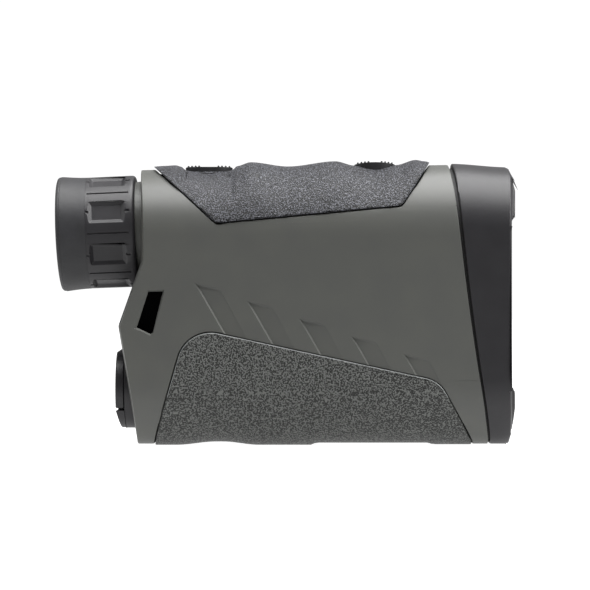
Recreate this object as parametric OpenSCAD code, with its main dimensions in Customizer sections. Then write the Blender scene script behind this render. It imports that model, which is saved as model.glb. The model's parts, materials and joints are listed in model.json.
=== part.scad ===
// Handheld laser rangefinder monocular, in millimetres.
// +X points at the target, +Z is up, and the housing splits on the plane Y = 0.

/* [Housing] */
// Half of the housing's width
half_width = 19; // [18.5:0.25:20]
// Height of the housing's crown
crown_z = 72.4; // [72.2:0.1:72.6]
// Height of the housing's underside
belly_z = 0.3; // [0.2:0.1:0.5]
// Width of the cross-section's rounded lower edges
foot_r = 14; // [13:0.5:15]
// Height of the rounded lower edges as a share of their width
foot_rise = 1.2; // [1:0.05:1.3]
// Thickness of the side walls
wall = 3; // [2.8:0.1:3]

/* [Side outline] */
// Upper rear face, around the eyepiece
rear_x = -36.9; // [-37.2:0.1:-36.6]
// Height at which the rear face starts to lean out
knee_z = 47; // [45:0.5:48]
// Rearmost point of the lower body
heel_x = -42.7; // [-43:0.1:-42.4]
// Height of the rearmost point
heel_z = 30.7; // [30:0.1:31.5]
// Rear end of the underside
tail_x = -37.5; // [-38:0.1:-37]
// Plan-view radius that the rear and the front are bowed to
bow_r = 120; // [100:5:150]
// Front seam at the crown
seam_top_x = 43.2; // [42.8:0.1:43.6]
// Front seam at mid height
seam_mid_x = 47.1; // [46.7:0.1:47.5]
// Front seam at the underside
seam_low_x = 53; // [52.6:0.1:53.4]

/* [Armour and grip] */
// How far the top armour stands proud of the housing
armour_proud = 0.4; // [0.3:0.1:0.6]
// Depth of the pocket that the top armour lies in, at its sides
armour_pocket = 1.6; // [1.4:0.1:1.7]
// How far the lower grip stands proud of the housing
grip_proud = 0.3; // [0.2:0.1:0.4]
// Depth of the pocket that the lower grip lies in
grip_pocket = 1.4; // [1.2:0.1:1.5]
// Gap round the armour and the grip
trim_gap = 0.4; // [0.3:0.1:0.6]

/* [Eyepiece] */
// Slope of the line of sight against the base
sight_tilt = 2.4; // [2:0.1:2.8]
// Outer radius of the diopter ring
ring_r = 14.4; // [14.2:0.1:14.6]
// Outer radius of the fixed barrel inside the ring
barrel_r = 11.9; // [11.8:0.05:11.9]
// Axial travel of the lens cell to each side
focus_travel = 1.2; // [0.8:0.1:1.2]
// Number of finger pockets round the ring
ring_pockets = 8; // [6:1:10]

/* [Lenses] */
// Height of the viewing objective at the front
objective_z = 54.6; // [54.4:0.1:54.8]
// Height of the receiving lens at the front
receiver_z = 18.6; // [18.4:0.1:18.8]
// Outer radius of both lens bezels
bezel_r = 13.2; // [13:0.1:13.3]
// Radius of the laser emitter's bezel
emitter_r = 3.6; // [3.2:0.1:3.8]

/* [Battery] */
// Radius of the battery cell
cell_r = 7.8; // [7.5:0.1:7.8]
// Length of the battery cell
cell_length = 27; // [25:0.5:27]
// Radius of the screw cap's flange
cap_r = 10.4; // [10.2:0.1:10.5]
// Height of the cap's centre
cap_z = 14.5; // [14:0.1:14.8]

/* [Buttons] */
// Centre of the rear button along the top
mode_x = -19.4; // [-19.6:0.1:-19.2]
// Centre of the front button along the top
range_x = 23.6; // [23.4:0.1:23.8]
// Travel of both buttons
press = 0.6; // [0.4:0.1:0.6]

/* [Hidden] */
$fn = 96;

centre_shift = -0.5;       // puts the whole object's box on X = 0
far = 60;                  // past every side of the housing
split_gap = 0.02;          // between the two half shells
seam_mid_z = 37.3;
front_x = 58.8;            // front of the hood on its centre line
brow_x = 59.6;             // front of the raised brows
hood_top = crown_z + 0.1;
hood_wall = 3;
seam_gap = 0.5;
eye_x = -47.8;             // a point on the eyepiece's axis
eye_z = 54.8;
objective_x = 52;          // a point on each front lens's axis
seat_x = -37.6;            // flat face that the battery cap's flange closes on
socket_x = 2.2;            // tripod socket's place along the base
tube_r = cell_r + 1.6;     // outside of the battery tube
armour_top = 73.7;
pocket_top = 70;           // floor of the armour's pocket at the crown
cavity_top = 68.8;

// ---- outlines ----

function unit(v) = v / norm(v);

// Points on an arc about c, from angle a0 to a1, stretched upwards by rise.
function arc(c, r, a0, a1, n, rise = 1) = [for (i = [0:n]) let (a = a0 + (a1 - a0) * i / n)
    c + r * [cos(a), rise * sin(a)]];

// A counter-clockwise outline grown outwards by d, with mitred corners.
function grown(p, d) = let (n = len(p)) [for (i = [0:n - 1])
    let (u = unit(p[i] - p[(i + n - 1) % n]), v = unit(p[(i + 1) % n] - p[i]),
        m = [u.y, -u.x], k = [v.y, -v.x])
    p[i] + d * (m + k) / (1 + m * k)];

// A sagging curve of n steps from a to b that dips by depth in its middle, without its two ends.
function dip(a, b, depth, n) = [for (i = [1:n - 1]) a + (b - a) * i / n - [0, depth * sin(180 * i / n)]];

// The upright cross-section: a round crown, flat sides and rounded lower edges.
function section(hw, top, bottom, foot) = concat(
    arc([0, top - hw], hw, 0, 180, 24),
    arc([-(hw - foot), bottom + foot * foot_rise], foot, 180, 270, 8, foot_rise),
    arc([hw - foot, bottom + foot * foot_rise], foot, 270, 360, 8, foot_rise));

function housing_section(inset) = section(half_width - inset, crown_z - inset, belly_z + inset,
    foot_r - inset);
function pocket_section() = section(half_width - armour_pocket, pocket_top, belly_z - 5, foot_r);
function cavity_section(inset = 0) = section(half_width - wall - inset, cavity_top - inset,
    belly_z + wall + inset,
                                             foot_r - wall - inset);

seam = [[seam_low_x, belly_z - 0.3], [seam_mid_x + 2.4, 18], [seam_mid_x, seam_mid_z],
    [seam_top_x + 1.6, 57],
        [seam_top_x, crown_z]];
function shifted(p, dx) = [for (q = p) q + [dx, 0]];
function reversed(p) = [for (i = [len(p) - 1:-1:0]) p[i]];

housing_outline = concat([[tail_x, belly_z - 0.3]], seam,
    [[rear_x + 1, 71.1], [rear_x, 70.2], [rear_x, knee_z], [heel_x, heel_z]]);

// The inside runs out through the front seam.
cavity_outline = [[tail_x + wall, -5], [far, -5], [far, 80], [rear_x + wall, 80],
    [rear_x + wall, knee_z - 1],
                  [heel_x + wall + 0.2, heel_z]];

armour_edge = [[-33.7, 71.8], [-18.3, 57.7], [-17.2, 57.1], [-16, 57.1], [29.1, 61.1], [30.3, 61.5],
    [30.9, 62.4],
               [37.6, 72.8]];
armour_outline = concat(armour_edge, [[37.3, 73.3], [34.2, 73.7]],
    dip([34.2, 73.7], [29.2, 72.6], -0.2, 4), [[29.2, 72.6]],
    dip([29.2, 72.6], [18.2, 72.4], 0.9, 8), [[18.2, 72.4], [13, 73.3]],
    dip([13, 73.3], [-8.6, 73.1], 1.2, 12), [[-8.6, 73.1], [-12.2, 72.1], [-13.1, 71.1]],
    dip([-13.1, 71.1], [-25.8, 71.1], 0.45, 8), [[-25.8, 71.1], [-26.3, 71.8], [-27.7, 72.2]]);

grip_outline = concat(
    [[-33.4, -1]],
    [[47.9, -1], [47.6, 1.6], [40.6, 14]],
    arc([33.2, 11.6], 7.6, 27, 77, 5),
    arc([-17.8, 19.8], 9.4, 78, 167, 9));

chevron_pitch = [13.14, -4.46];
chevron_count = 5;
function chevron(k) = let (c = [-22.4, 41.6] + k * chevron_pitch)
    [c, c + [9, -15.6], c + [15, -17], c + [6.6, -1.7]];

slot_outline = [[-34.1, 39.4], [-37, 30.4], [-33.5, 28.8], [-32.9, 29.2], [-30.4, 39.5]];

// ---- shapes ----

module along_x(points, x0, x1) translate([x0, 0, 0]) rotate([90, 0, 90]) linear_extrude(x1 - x0)
    polygon(points);
module along_y(points, y0, y1) translate([0, y1, 0]) rotate([90, 0, 0]) linear_extrude(y1 - y0)
    polygon(points);
module disc(r, x0, x1) translate([x0, 0, 0]) rotate([0, 90, 0]) cylinder(h = x1 - x0, r = r);
module cone(r0, r1, x0, x1) translate([x0, 0, 0]) rotate([0, 90, 0])
    cylinder(h = x1 - x0, r1 = r0, r2 = r1);
module ring(r_out, r_in, x0, x1) difference() {
    disc(r_out, x0, x1);
    disc(r_in, x0 - 1, x1 + 1);
}
// An upright pill of the given length along X and width along Y.
module pill(length, width, z0, z1) translate([0, 0, z0]) {
    translate([-(length - width) / 2, -width / 2, 0]) cube([length - width, width, z1 - z0]);
    for (s = [-1, 1]) translate([s * (length - width) / 2, 0, 0]) cylinder(h = z1 - z0, r = width / 2);
}
// The frames of the tilted eyepiece, front lenses and battery cap.
module on_eyepiece() translate([eye_x, 0, eye_z]) rotate([0, -sight_tilt, 0]) children();
module on_front(z) translate([objective_x, 0, z]) rotate([0, -sight_tilt, 0]) children();
module on_cap() translate([seat_x, 0, cap_z]) children();
// Keeps the left (-1) or right (+1) half.
module half(side) intersection() {
    children();
    translate([-far, side > 0 ? split_gap / 2 : -far, -5]) cube([2 * far, far - split_gap / 2, 90]);
}
// A torus about the X axis.
module o_ring(major, minor, x) translate([x, 0, 0]) rotate([0, 90, 0]) rotate_extrude()
    translate([major, 0]) circle(r = minor, $fn = 24);

// ---- housing ----

boss_places = [[-28.5, 37, 2.6], [10, 36, 2.6], [12, 6.6, 2.2], [8, 63, 2.1]];
board_standoffs = [[-20, 34], [-20, 59], [13, 42]];
lug_z = 36.6;
lug_y = 10.5;

// An outline turned about an upright axis bow_r behind (1) or ahead (-1) of x, so that its end is bowed.
module bowed(points, x, side) translate([x - side * bow_r, 0, 0]) rotate([0, 0, side > 0 ? 0 : 180])
    rotate_extrude(angle = 360) polygon(concat([[0, -5]], [for (p = points)
        [bow_r + side * (p.x - x), p.y]], [[0, 85]]));
module housing_solid() intersection() {
    along_x(housing_section(0), -far, far);
    along_y(housing_outline, -25, 25);
    bowed([[tail_x, belly_z - 1], [tail_x, belly_z], [heel_x, heel_z], [rear_x, knee_z], [rear_x, 70.2],
           [rear_x + 1, 71.1], [rear_x + 5, 74.7]], rear_x, -1);
}
module armour_pocket_cut() difference() {
    along_y(grown(concat(armour_edge, [[42.8, 80.8], [-43.3, 80.6]]), trim_gap), -25, 25);
    along_x(pocket_section(), -far, far);
}
module grip_pocket_cut() difference() {
    along_y(grown(grip_outline, trim_gap), -25, 25);
    along_x(housing_section(grip_pocket), -far, far);
}
module chevron_cuts(side) for (k = [0:chevron_count - 1])
    along_y(chevron(k), side > 0 ? half_width - 0.8 : -half_width - 3,
        side > 0 ? half_width + 3 : -half_width + 0.8);
module lanyard_cut(side) {
    y_out = side > 0 ? 14.4 : -22;
    along_y(slot_outline, y_out, y_out + 7.6);
    y_rear = side > 0 ? 14.4 : -17;
    along_y([[-50, 29.4], [-34, 29.4], [-32, 39.4], [-50, 39.4]], y_rear, y_rear + 2.6);
}
module lanyard_block(side) {
    y0 = side > 0 ? 12.8 : -16.4;
    intersection() {
        along_y([[-45, 27.6], [-30, 27.6], [-28.4, 41.2], [-45, 41.2]], y0, y0 + 3.6);
        along_y(grown(housing_outline, -1), -25, 25);
    }
}
// The inside, less the pillars, blocks and decks that stand in it.
module shell(side) color([0.36, 0.37, 0.35]) half(side) difference() {
    union() {
        difference() {
            housing_solid();
            intersection() {
                along_x(cavity_section(), -far, far);
                along_y(cavity_outline, -25, 25);
            }
        }
        lanyard_block(side);
        for (b = boss_places) translate([b.x, -17, b.y]) rotate([-90, 0, 0]) cylinder(h = 34, r = b.z);
        // deck under each button
        for (x = [mode_x, range_x]) translate([x - 8, -9.5, 67.2]) cube([16, 19, 2.4]);
        // lug that takes the hood's screw
        translate([40, side > 0 ? lug_y - 2.6 : -17, lug_z - 2.6]) cube([4.6, 17 - lug_y + 2.6, 5.2]);
        // pad that holds the tripod socket
        translate([socket_x, 0, belly_z + 2.4]) cylinder(h = 2.2, r = 7);
        // seat block round the battery tube
        intersection() {
            on_cap() disc(cap_r + 2.2, -5, 3);
            along_x(housing_section(1), -far, far);
            along_y(grown(housing_outline, -1), -25, 25);
        }
        if (side > 0) for (s = board_standoffs) translate([s.x, 13.5, s.y]) rotate([-90, 0, 0])
            cylinder(h = 3, r = 1.6);
    }
    armour_pocket_cut();
    grip_pocket_cut();
    chevron_cuts(side);
    lanyard_cut(side);
    // eyepiece collar's seat and the room for its inner flange
    on_eyepiece() {
        disc(12.85, 5, 14);
        disc(14.1, 13.8, 20);
        // room for the diopter ring to turn
        disc(ring_r + 0.5, -5, 10.6);
    }
    // counterbore for the cap and the bore for the battery tube
    on_cap() {
        disc(cap_r + 0.5, -12, 0);
        disc(tube_r + 0.05, -5, 5);
    }
    // button recesses and stems
    for (x = [mode_x, range_x]) translate([x, 0, 0]) {
        pill(14.2, 11, 68.7, 75);
        cylinder(h = 80, r = 1.75);
    }
    // screws: head seats on the right, pilots on the left
    for (b = boss_places) {
        translate([b.x, 6, b.y]) rotate([-90, 0, 0]) cylinder(h = 20, r = b.z > 2.3 ? 2.1 : 1.7);
        translate([b.x, -1, b.y]) rotate([-90, 0, 0]) cylinder(h = 10, r = 1.15);
        translate([b.x, -9, b.y]) rotate([-90, 0, 0]) cylinder(h = 9, r = 0.95);
    }
    translate([35, side * lug_y, lug_z]) rotate([0, 90, 0]) cylinder(h = 12, r = 0.85);
    translate([socket_x, 0, -1]) cylinder(h = 11, r = 4.75);
    if (side > 0) for (s = board_standoffs) translate([s.x, 13, s.y]) rotate([-90, 0, 0])
        cylinder(h = 3, r = 0.75);
}
module left_shell() shell(-1);
module right_shell() shell(1);
module shell_screws() color([0.2, 0.2, 0.21]) for (b = boss_places) translate([b.x, 0, b.y])
    rotate([-90, 0, 0]) difference() {
    union() {
        translate([0, 0, -8.4]) cylinder(h = 14.6, r = 0.9);
        translate([0, 0, 6.02]) cylinder(h = 1.6, r = b.z > 2.3 ? 1.95 : 1.55);
    }
    translate([0, 0, 6.8]) cylinder(h = 2, r = 0.8, $fn = 6);
}

// ---- armour and grip ----

module button_hole(length, width) pill(length + 0.5, width + 0.5, 60, 80);

mode_size = [12.2, 9];
range_size = [10.6, 9.6];

module top_armour() color([0.16, 0.16, 0.17]) difference() {
    intersection() {
        along_x(section(half_width + armour_proud, armour_top, belly_z - 5, foot_r), -far, far);
        along_y(armour_outline, -25, 25);
    }
    along_x(pocket_section(), -far, far);
    translate([mode_x, 0, 0]) button_hole(mode_size.x, mode_size.y);
    translate([range_x, 0, 0]) button_hole(range_size.x, range_size.y);
    for (x = [mode_x, range_x]) translate([x, 0, 0]) pill(14.2, 11, 60, 70);
}
module lower_grip() color([0.3, 0.31, 0.29]) difference() {
    intersection() {
        along_x(section(half_width + grip_proud, crown_z, 0, foot_r), -far, far);
        along_y(grip_outline, -25, 25);
    }
    along_x(housing_section(grip_pocket), -far, far);
    // finger relief and the shallow flat under the body
    along_y(concat([[-26, -1]], [[-15, -1], [-8.2, -1], [-8.2, 0]],
        reversed(dip([-26, 0], [-8.2, 0], -1, 10)), [[-26, 0]]), -25, 25);
    along_y([[8, -1], [37.6, -1], [38.2, 0.7], [7, 0.7]], -25, 25);
    translate([socket_x, 0, -1]) cylinder(h = 11, r = 4.9);
}

// ---- front hood ----

hood_outline = concat(reversed(shifted(seam, seam_gap)), [[58.9, belly_z - 1], [58.9, 74]]);
hood_front = [[57.4, -0.5], [57.4, 0.4], [58, 1], [58.5, 3], [front_x, 9], [front_x, 64], [58.6, 69.7],
    [58.1, 71.7],
              [57.2, 72.4]];
brow_high = [[56, 57], [58.6, 57.2], [brow_x, 58.6], [brow_x, 65.2], [58.1, 71.7], [56, 71.7]];
brow_low = [[56, 1], [58.1, 1], [brow_x - 0.5, 5.6], [brow_x, 9.8], [brow_x, 14], [58.6, 15.6], [56, 15.6]];
rim_width = 1.6;

function obround(r) = concat(arc([0, objective_z + 0.2], r, 0, 180, 24),
    arc([0, receiver_z + 0.2], r, 180, 360, 24));

module front_hood() color([0.11, 0.11, 0.12]) difference() {
    union() {
        difference() {
            intersection() {
                along_x(section(half_width, hood_top, belly_z - 0.2, foot_r), 20, far);
                along_y(hood_outline, -25, 25);
                bowed(hood_front, front_x, 1);
            }
            intersection() {
                along_x(section(half_width - 3.2, cavity_top - 0.4, belly_z + 3.4, foot_r - 3.4),
                    20, front_x - hood_wall);
                along_y(grown(hood_outline, 3), -25, 25);
            }
        }
        intersection() {
            difference() {
                along_x(obround(bezel_r + 0.5 + rim_width), 50, far);
                along_x(obround(bezel_r + 0.5), 40, far + 10);
            }
            union() {
                along_y(brow_high, -25, 25);
                along_y(brow_low, -25, 25);
            }
        }
        // spigot that enters the shells
        intersection() {
            difference() {
                along_x(cavity_section(0.15), 30, 54);
                along_x(cavity_section(1.4), 20, 60);
            }
            along_y(concat(shifted(seam, -3.6), reversed(shifted(seam, seam_gap + 1.5))), -25, 25);
        }
        for (s = [-1, 1]) translate([0, s * lug_y, lug_z]) disc(2.5, 50, 56);
    }
    on_front(objective_z) disc(bezel_r + 0.1, -6, 12);
    on_front(receiver_z) disc(bezel_r + 0.1, -6, 12);
    translate([0, 0, lug_z]) disc(emitter_r + 0.1, 50, 62);
    for (s = [-1, 1]) translate([0, s * lug_y, lug_z]) {
        disc(1.15, 45, 62);
        disc(2, 56.4, 62);
    }
    // room for the shells' lugs
    for (s = [-1, 1]) translate([36, s > 0 ? lug_y - 2.8 : -18, lug_z - 2.8])
        cube([8.8, 18 - lug_y + 2.8, 5.6]);
}
module hood_gasket() color([0.05, 0.05, 0.05]) intersection() {
    difference() {
        along_x(section(half_width - 1, crown_z - 1, belly_z + 0.9, foot_r - 1), 30, far);
        along_x(cavity_section(0.1), 20, far + 5);
    }
    along_y(concat(shifted(seam, 0.05), reversed(shifted(seam, seam_gap - 0.05))), -25, 25);
}
module hood_screws() color([0.2, 0.2, 0.21]) for (s = [-1, 1]) translate([0, s * lug_y, lug_z])
    difference() {
    union() {
        disc(0.8, 41, 56.6);
        disc(1.85, 56.42, 57.8);
    }
    disc(0.7, 57, 60, $fn = 6);
}

// ---- front optics ----

module lens_bezel() difference() {
    disc(bezel_r, 2.9, 6.7);
    disc(bezel_r - 1.7, 2, 4.2);
    cone(bezel_r - 1.7, bezel_r - 0.9, 4.1, 6.8);
}
module objective_bezel() color([0.07, 0.07, 0.08]) on_front(objective_z) lens_bezel();
module receiver_bezel() color([0.07, 0.07, 0.08]) on_front(receiver_z) lens_bezel();

// A round lens with a flat edge and two bulging faces, turned about X.
function dome_r(r, bulge) = (r * r + bulge * bulge) / (2 * bulge);
function bulge_at(r, bulge, y) = bulge == 0 ? 0 : sqrt(dome_r(r, bulge) ^ 2 - y * y) - dome_r(r, bulge)
    + bulge;
lens_steps = 6;
module lens(r, edge0, edge1, bulge0, bulge1) rotate([0, 90, 0]) rotate_extrude() polygon(concat(
    [for (i = [0:lens_steps]) let (y = r * i / lens_steps) [y, edge0 - bulge_at(r, bulge0, y)]],
    [for (i = [lens_steps:-1:0]) let (y = r * i / lens_steps) [y, edge1 + bulge_at(r, bulge1, y)]]));

module objective_lens() color([0.3, 0.4, 0.5]) on_front(objective_z) lens(12.1, -2.2, 0, 1.2, 1.3);
module receiver_lens() color([0.25, 0.15, 0.2]) on_front(receiver_z) lens(12.1, -2.2, 0, 1.2, 1.3);
module lens_retainer() ring(12.1, 11.1, 0.25, 1.3);
module objective_retainer() color([0.1, 0.1, 0.1]) on_front(objective_z) lens_retainer();
module receiver_retainer() color([0.1, 0.1, 0.1]) on_front(receiver_z) lens_retainer();
// Lens tube: a straight mouth and a taper to the rear.
module lens_tube(length, tail_r) difference() {
    union() {
        disc(bezel_r - 0.1, -5, 2.8);
        cone(tail_r, bezel_r - 0.1, -length, -5);
    }
    disc(12.15, -2.3, 3);
    disc(11.4, -5, -2);
    cone(tail_r - 1.1, 11.4, -length - 0.01, -4.99);
}
module objective_tube() color([0.13, 0.13, 0.14]) on_front(objective_z) lens_tube(38, 9.4);
module receiver_tube() color([0.13, 0.13, 0.14]) on_front(receiver_z) difference() {
    lens_tube(33, 6.4);
    translate([-34, -10, -10]) cube([0.4, 20, 20]);
}
module receiver_board() color([0.1, 0.35, 0.2]) on_front(receiver_z) translate([-35.2, -8, -6.5])
    cube([1.2, 16, 13]);
module receiver_sensor() color([0.75, 0.72, 0.6]) on_front(receiver_z) {
    ring(4.6, 2.2, -33.95, -33.15);
    disc(2.2, -33.95, -33.4);
    for (a = [0, 120, 240]) rotate([a, 0, 0]) translate([0, 3, 0]) disc(0.25, -33.97, -33.5);
}
module emitter_bezel() color([0.5, 0.5, 0.51]) translate([0, 0, lug_z]) difference() {
    disc(emitter_r, 54, 58.5);
    disc(emitter_r - 0.8, 53, 60);
}
module emitter_lens() color([0.3, 0.2, 0.25]) translate([0, 0, lug_z])
    lens(emitter_r - 0.85, 54.6, 56.6, 0.5, 0.7);
module emitter_tube() color([0.13, 0.13, 0.14]) translate([0, 0, lug_z]) difference() {
    disc(emitter_r - 0.1, 26, 53.95);
    disc(emitter_r - 1, 29, 60);
    disc(2.75, 20, 31);
}
module laser_diode() color([0.8, 0.7, 0.4]) translate([0, 0, lug_z]) {
    disc(2.7, 26.1, 27.4);
    disc(1.7, 27.4, 30);
    for (a = [90, 210, 330]) rotate([a, 0, 0]) translate([0, 1.2, 0]) disc(0.25, 20, 26.1);
}

// ---- prism group ----

prism_half_y = 9.5;
module roof_prism() color([0.7, 0.8, 0.85]) along_y([[-23, 46], [-11.4, 46], [-5, 55.2], [-11.4, 64.4],
    [-23, 64.4]],
                                                   -prism_half_y, prism_half_y);
module half_prism() color([0.7, 0.8, 0.85]) along_y([[-10.9, 46], [3, 46], [3, 62], [-1.5, 62],
    [-4.6, 55.2]],
                                                   -prism_half_y, prism_half_y);
module prism_holder() color([0.25, 0.25, 0.26]) difference() {
    translate([-24.6, -11.2, 44.5]) cube([29.2, 22.4, 19]);
    translate([-23.1, -9.6, 45.9]) cube([26.2, 19.2, 30]);
    disc_path(8.5, -30, 10);
}
// Round light path along the line of sight through the prism group.
module disc_path(r, x0, x1) translate([0, 0, 55.2]) disc(r, x0, x1);
module prism_clip() color([0.7, 0.7, 0.72]) {
    translate([-20, -10.4, 64.45]) cube([6, 20.8, 0.4]);
    for (side = [-1, 1]) translate([-20, side > 0 ? 10 : -10.4, 63.52]) cube([6, 0.4, 1]);
}
module display_panel() color([0.1, 0.12, 0.2]) {
    translate([-29, -6, 47.5]) cube([0.8, 12, 4]);
    translate([-28.2, -5, 48]) cube([0.6, 10, 3]);
}
module optical_chassis() color([0.55, 0.55, 0.57]) difference() {
    translate([-29.5, -11.8, 42.6]) cube([38, 23.6, 1.85]);
    for (x = [-27, 6]) translate([x, 0, 40]) for (y = [-8, 8]) translate([0, y, 0])
        cylinder(h = 6, r = 1.1);
}

// ---- eyepiece ----

cam_x = 4;
pin_r = 0.8;
ring_phase = 18.5;
module eyepiece_housing() color([0.36, 0.37, 0.35]) on_eyepiece() difference() {
    union() {
        disc(barrel_r, -6.8, 17);
        disc(12.8, 9.1, 14);
        disc(14, 13.9, 15.4);
    }
    disc(10.6, -8, 20);
    ring(13, 11.2, -6.3, -5.6);
    ring(13, 11.2, 7, 8.2);
    for (a = [0, 120, 240]) rotate([a, 0, 0]) translate([cam_x - pin_r - focus_travel - 0.1,
        -pin_r - 0.05, 5])
        cube([2 * (pin_r + focus_travel + 0.1), 2 * pin_r + 0.1, 12]);
}
module barrel_circlip() color([0.6, 0.6, 0.62]) on_eyepiece() difference() {
    ring(12.5, 11.25, -6.25, -5.65);
    translate([-7, -1.5, -15]) cube([2, 3, 10]);
}
module diopter_seal() color([0.05, 0.05, 0.05]) on_eyepiece() o_ring(11.6, 0.36, 7.6);
module diopter_ring() color([0.13, 0.13, 0.14]) on_eyepiece() difference() {
    union() {
        disc(ring_r, -2.6, 10);
        disc(13, -5.5, -2.6);
    }
    disc(barrel_r + 0.1, -6, 9);
    disc(12.95, 8.8, 11);
    ring(12.9, 11, cam_x - pin_r - focus_travel - 0.2, cam_x + pin_r + focus_travel + 0.2);
    for (i = [0:ring_pockets - 1]) rotate([-ring_phase + i * 360 / ring_pockets, 0, 0]) {
        translate([-1.9, -ring_r - 0.2, -3]) cube([9.5, 1, 6]);
        rotate([180 / ring_pockets, 0, 0]) translate([-2, -ring_r - 0.2, -0.15]) cube([10.3, 0.55, 0.3]);
    }
}
module eyecup() color([0.12, 0.12, 0.13]) on_eyepiece() difference() {
    union() {
        disc(14.3, -9.2, -2.65);
        cone(13.3, 14.45, -10.2, -9.2);
    }
    disc(13.05, -6.5, -2);
    disc(12.2, -8, -6);
    cone(12.6, 11.9, -10.3, -7.9);
}
module lens_cell() color([0.1, 0.1, 0.11]) on_eyepiece() difference() {
    disc(10.5, -5, 12);
    disc(9.25, -6, 1.2);
    disc(8.2, 0, 13);
    disc(8.85, 6.2, 13);
    for (a = [0, 120, 240]) rotate([a, 0, 0]) translate([cam_x, 0, 9.6]) cylinder(h = 4, r = pin_r);
}
module eye_lens() color([0.5, 0.6, 0.65]) on_eyepiece() lens(9.2, -2.2, 0.6, 1, 0);
module field_lens() color([0.5, 0.6, 0.65]) on_eyepiece() lens(8.8, 6.25, 9, 0, 1);
module cell_retainer() color([0.1, 0.1, 0.1]) on_eyepiece() {
    ring(9.2, 8, -4.3, -3.25);
    ring(8.8, 7.8, 10.05, 11.2);
}
module cam_pins() color([0.75, 0.75, 0.77]) on_eyepiece() for (a = [0, 120, 240]) rotate([a, 0, 0])
    translate([cam_x, 0, 9.65]) cylinder(h = 3.05, r = pin_r - 0.02);

// ---- electronics ----

module main_board() color([0.1, 0.35, 0.2]) difference() {
    translate([-24, 12.4, 30.5]) cube([40, 1, 29.9]);
    for (s = board_standoffs) translate([s.x, 10, s.y]) rotate([-90, 0, 0]) cylinder(h = 6, r = 0.8);
    translate([10, 10, 36]) rotate([-90, 0, 0]) cylinder(h = 6, r = 3.1);
}
module board_chips() color([0.08, 0.08, 0.09]) {
    for (c = [[-14, 46, 9, 9], [-1, 44, 7, 7], [-12, 34, 5, 4], [1, 53, 6, 4], [-19, 50, 3, 5]])
        translate([c.x, 13.42, c.y]) cube([c[2], 1.1, c[3]]);
}
module button_board() color([0.1, 0.35, 0.2]) translate([-27, -5.5, 65.4]) cube([57, 11, 0.8]);
module tact_switches() color([0.75, 0.75, 0.77]) for (x = [mode_x, range_x]) {
    translate([x - 2.2, -2.2, 66.22]) cube([4.4, 4.4, 0.9]);
    translate([x, 0, 67.12]) cylinder(h = 1.1 - press, r = 1.1);
}

// ---- buttons ----

module button_body(size, top) {
    pill(size.x, size.y, 69.6, top);
    pill(size.x + 1.2, size.y + 1.2, 69.5, 69.95);
    translate([0, 0, 68.25]) cylinder(h = 1.5, r = 1.6);
}
// Cross ribs along the top of a button, at the given distances from its middle, each within its rounded
// outline.
function rib_half(size, x) = let (r = size.y / 2, past = max(0, x - (size.x / 2 - r)))
    sqrt(r * r - past * past) - 0.6;
module ribs(places, size, z) for (x = places, s = [-1, 1]) let (half = rib_half(size, x))
    translate([s * x, -half, z]) rotate([-90, 0, 0]) cylinder(h = 2 * half, r = 0.3);
module range_button() color([0.1, 0.1, 0.11]) translate([range_x, 0, 0]) {
    button_body(range_size, 72.5);
    intersection() {
        pill(range_size.x, range_size.y, 72.4, 74);
        translate([0, 0, 72.9 - 32]) rotate([90, 0, 0]) cylinder(h = 20, r = 32, center = true);
    }
    ribs([1.7, 2.6, 3.5, 4.4], range_size, 72.7);
}
module mode_button() color([0.1, 0.1, 0.11]) translate([mode_x, 0, 0]) {
    button_body(mode_size, 71.7);
    ribs([2.5, 3.4, 4.35, 5.3], mode_size, 71.8);
}

// ---- battery ----

module battery_tube() color([0.13, 0.13, 0.14]) on_cap() difference() {
    disc(tube_r, 0.2, cell_length + 7.5);
    disc(cell_r + 0.15, -1, cell_length + 6.4);
    disc(tube_r - 0.7, -1, 4.6);
}
module battery() color([0.35, 0.4, 0.5]) on_cap() {
    disc(cell_r, 5.35, cell_length + 4.75);
    disc(3, cell_length + 4.75, cell_length + 5.35);
}
module battery_contact() color([0.8, 0.72, 0.4]) on_cap() translate([cell_length + 5.4, 0, 0]) {
    disc(5, 0, 0.45);
    disc(1, 0.45, 0.95);
}
// A conical coil: a round wire swept along a helix that widens.
coil_sides = 8;
coil_rings = 48;
coil_turns = 3;
function coil_at(t) = let (a = 360 * coil_turns * t, r = 2.6 + 2.6 * t)
    [0.35 + 3.6 * t, r * cos(a), r * sin(a)];
function coil_ring(t, wire) = let (
    p = coil_at(t), f = unit(coil_at(t + 0.001) - coil_at(t - 0.001)), u = unit(cross(f, [1, 0, 0])),
        v = cross(f, u))
    [for (k = [0:coil_sides - 1])
        p + wire * (cos(360 * k / coil_sides) * u + sin(360 * k / coil_sides) * v)];
module battery_spring() color([0.8, 0.8, 0.82]) on_cap() translate([1.05, 0, 0]) polyhedron(
    points = [for (i = [0:coil_rings]) each coil_ring(i / coil_rings, 0.3)],
    faces = concat(
        [[for (k = [coil_sides - 1:-1:0]) k]],
        [for (i = [0:coil_rings - 1], k = [0:coil_sides - 1])
            let (a = i * coil_sides, b = (k + 1) % coil_sides)
            each [[a + k, a + b, a + coil_sides + b], [a + k, a + coil_sides + b, a + coil_sides + k]]],
        [[for (k = [0:coil_sides - 1]) coil_rings * coil_sides + k]]));

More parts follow.
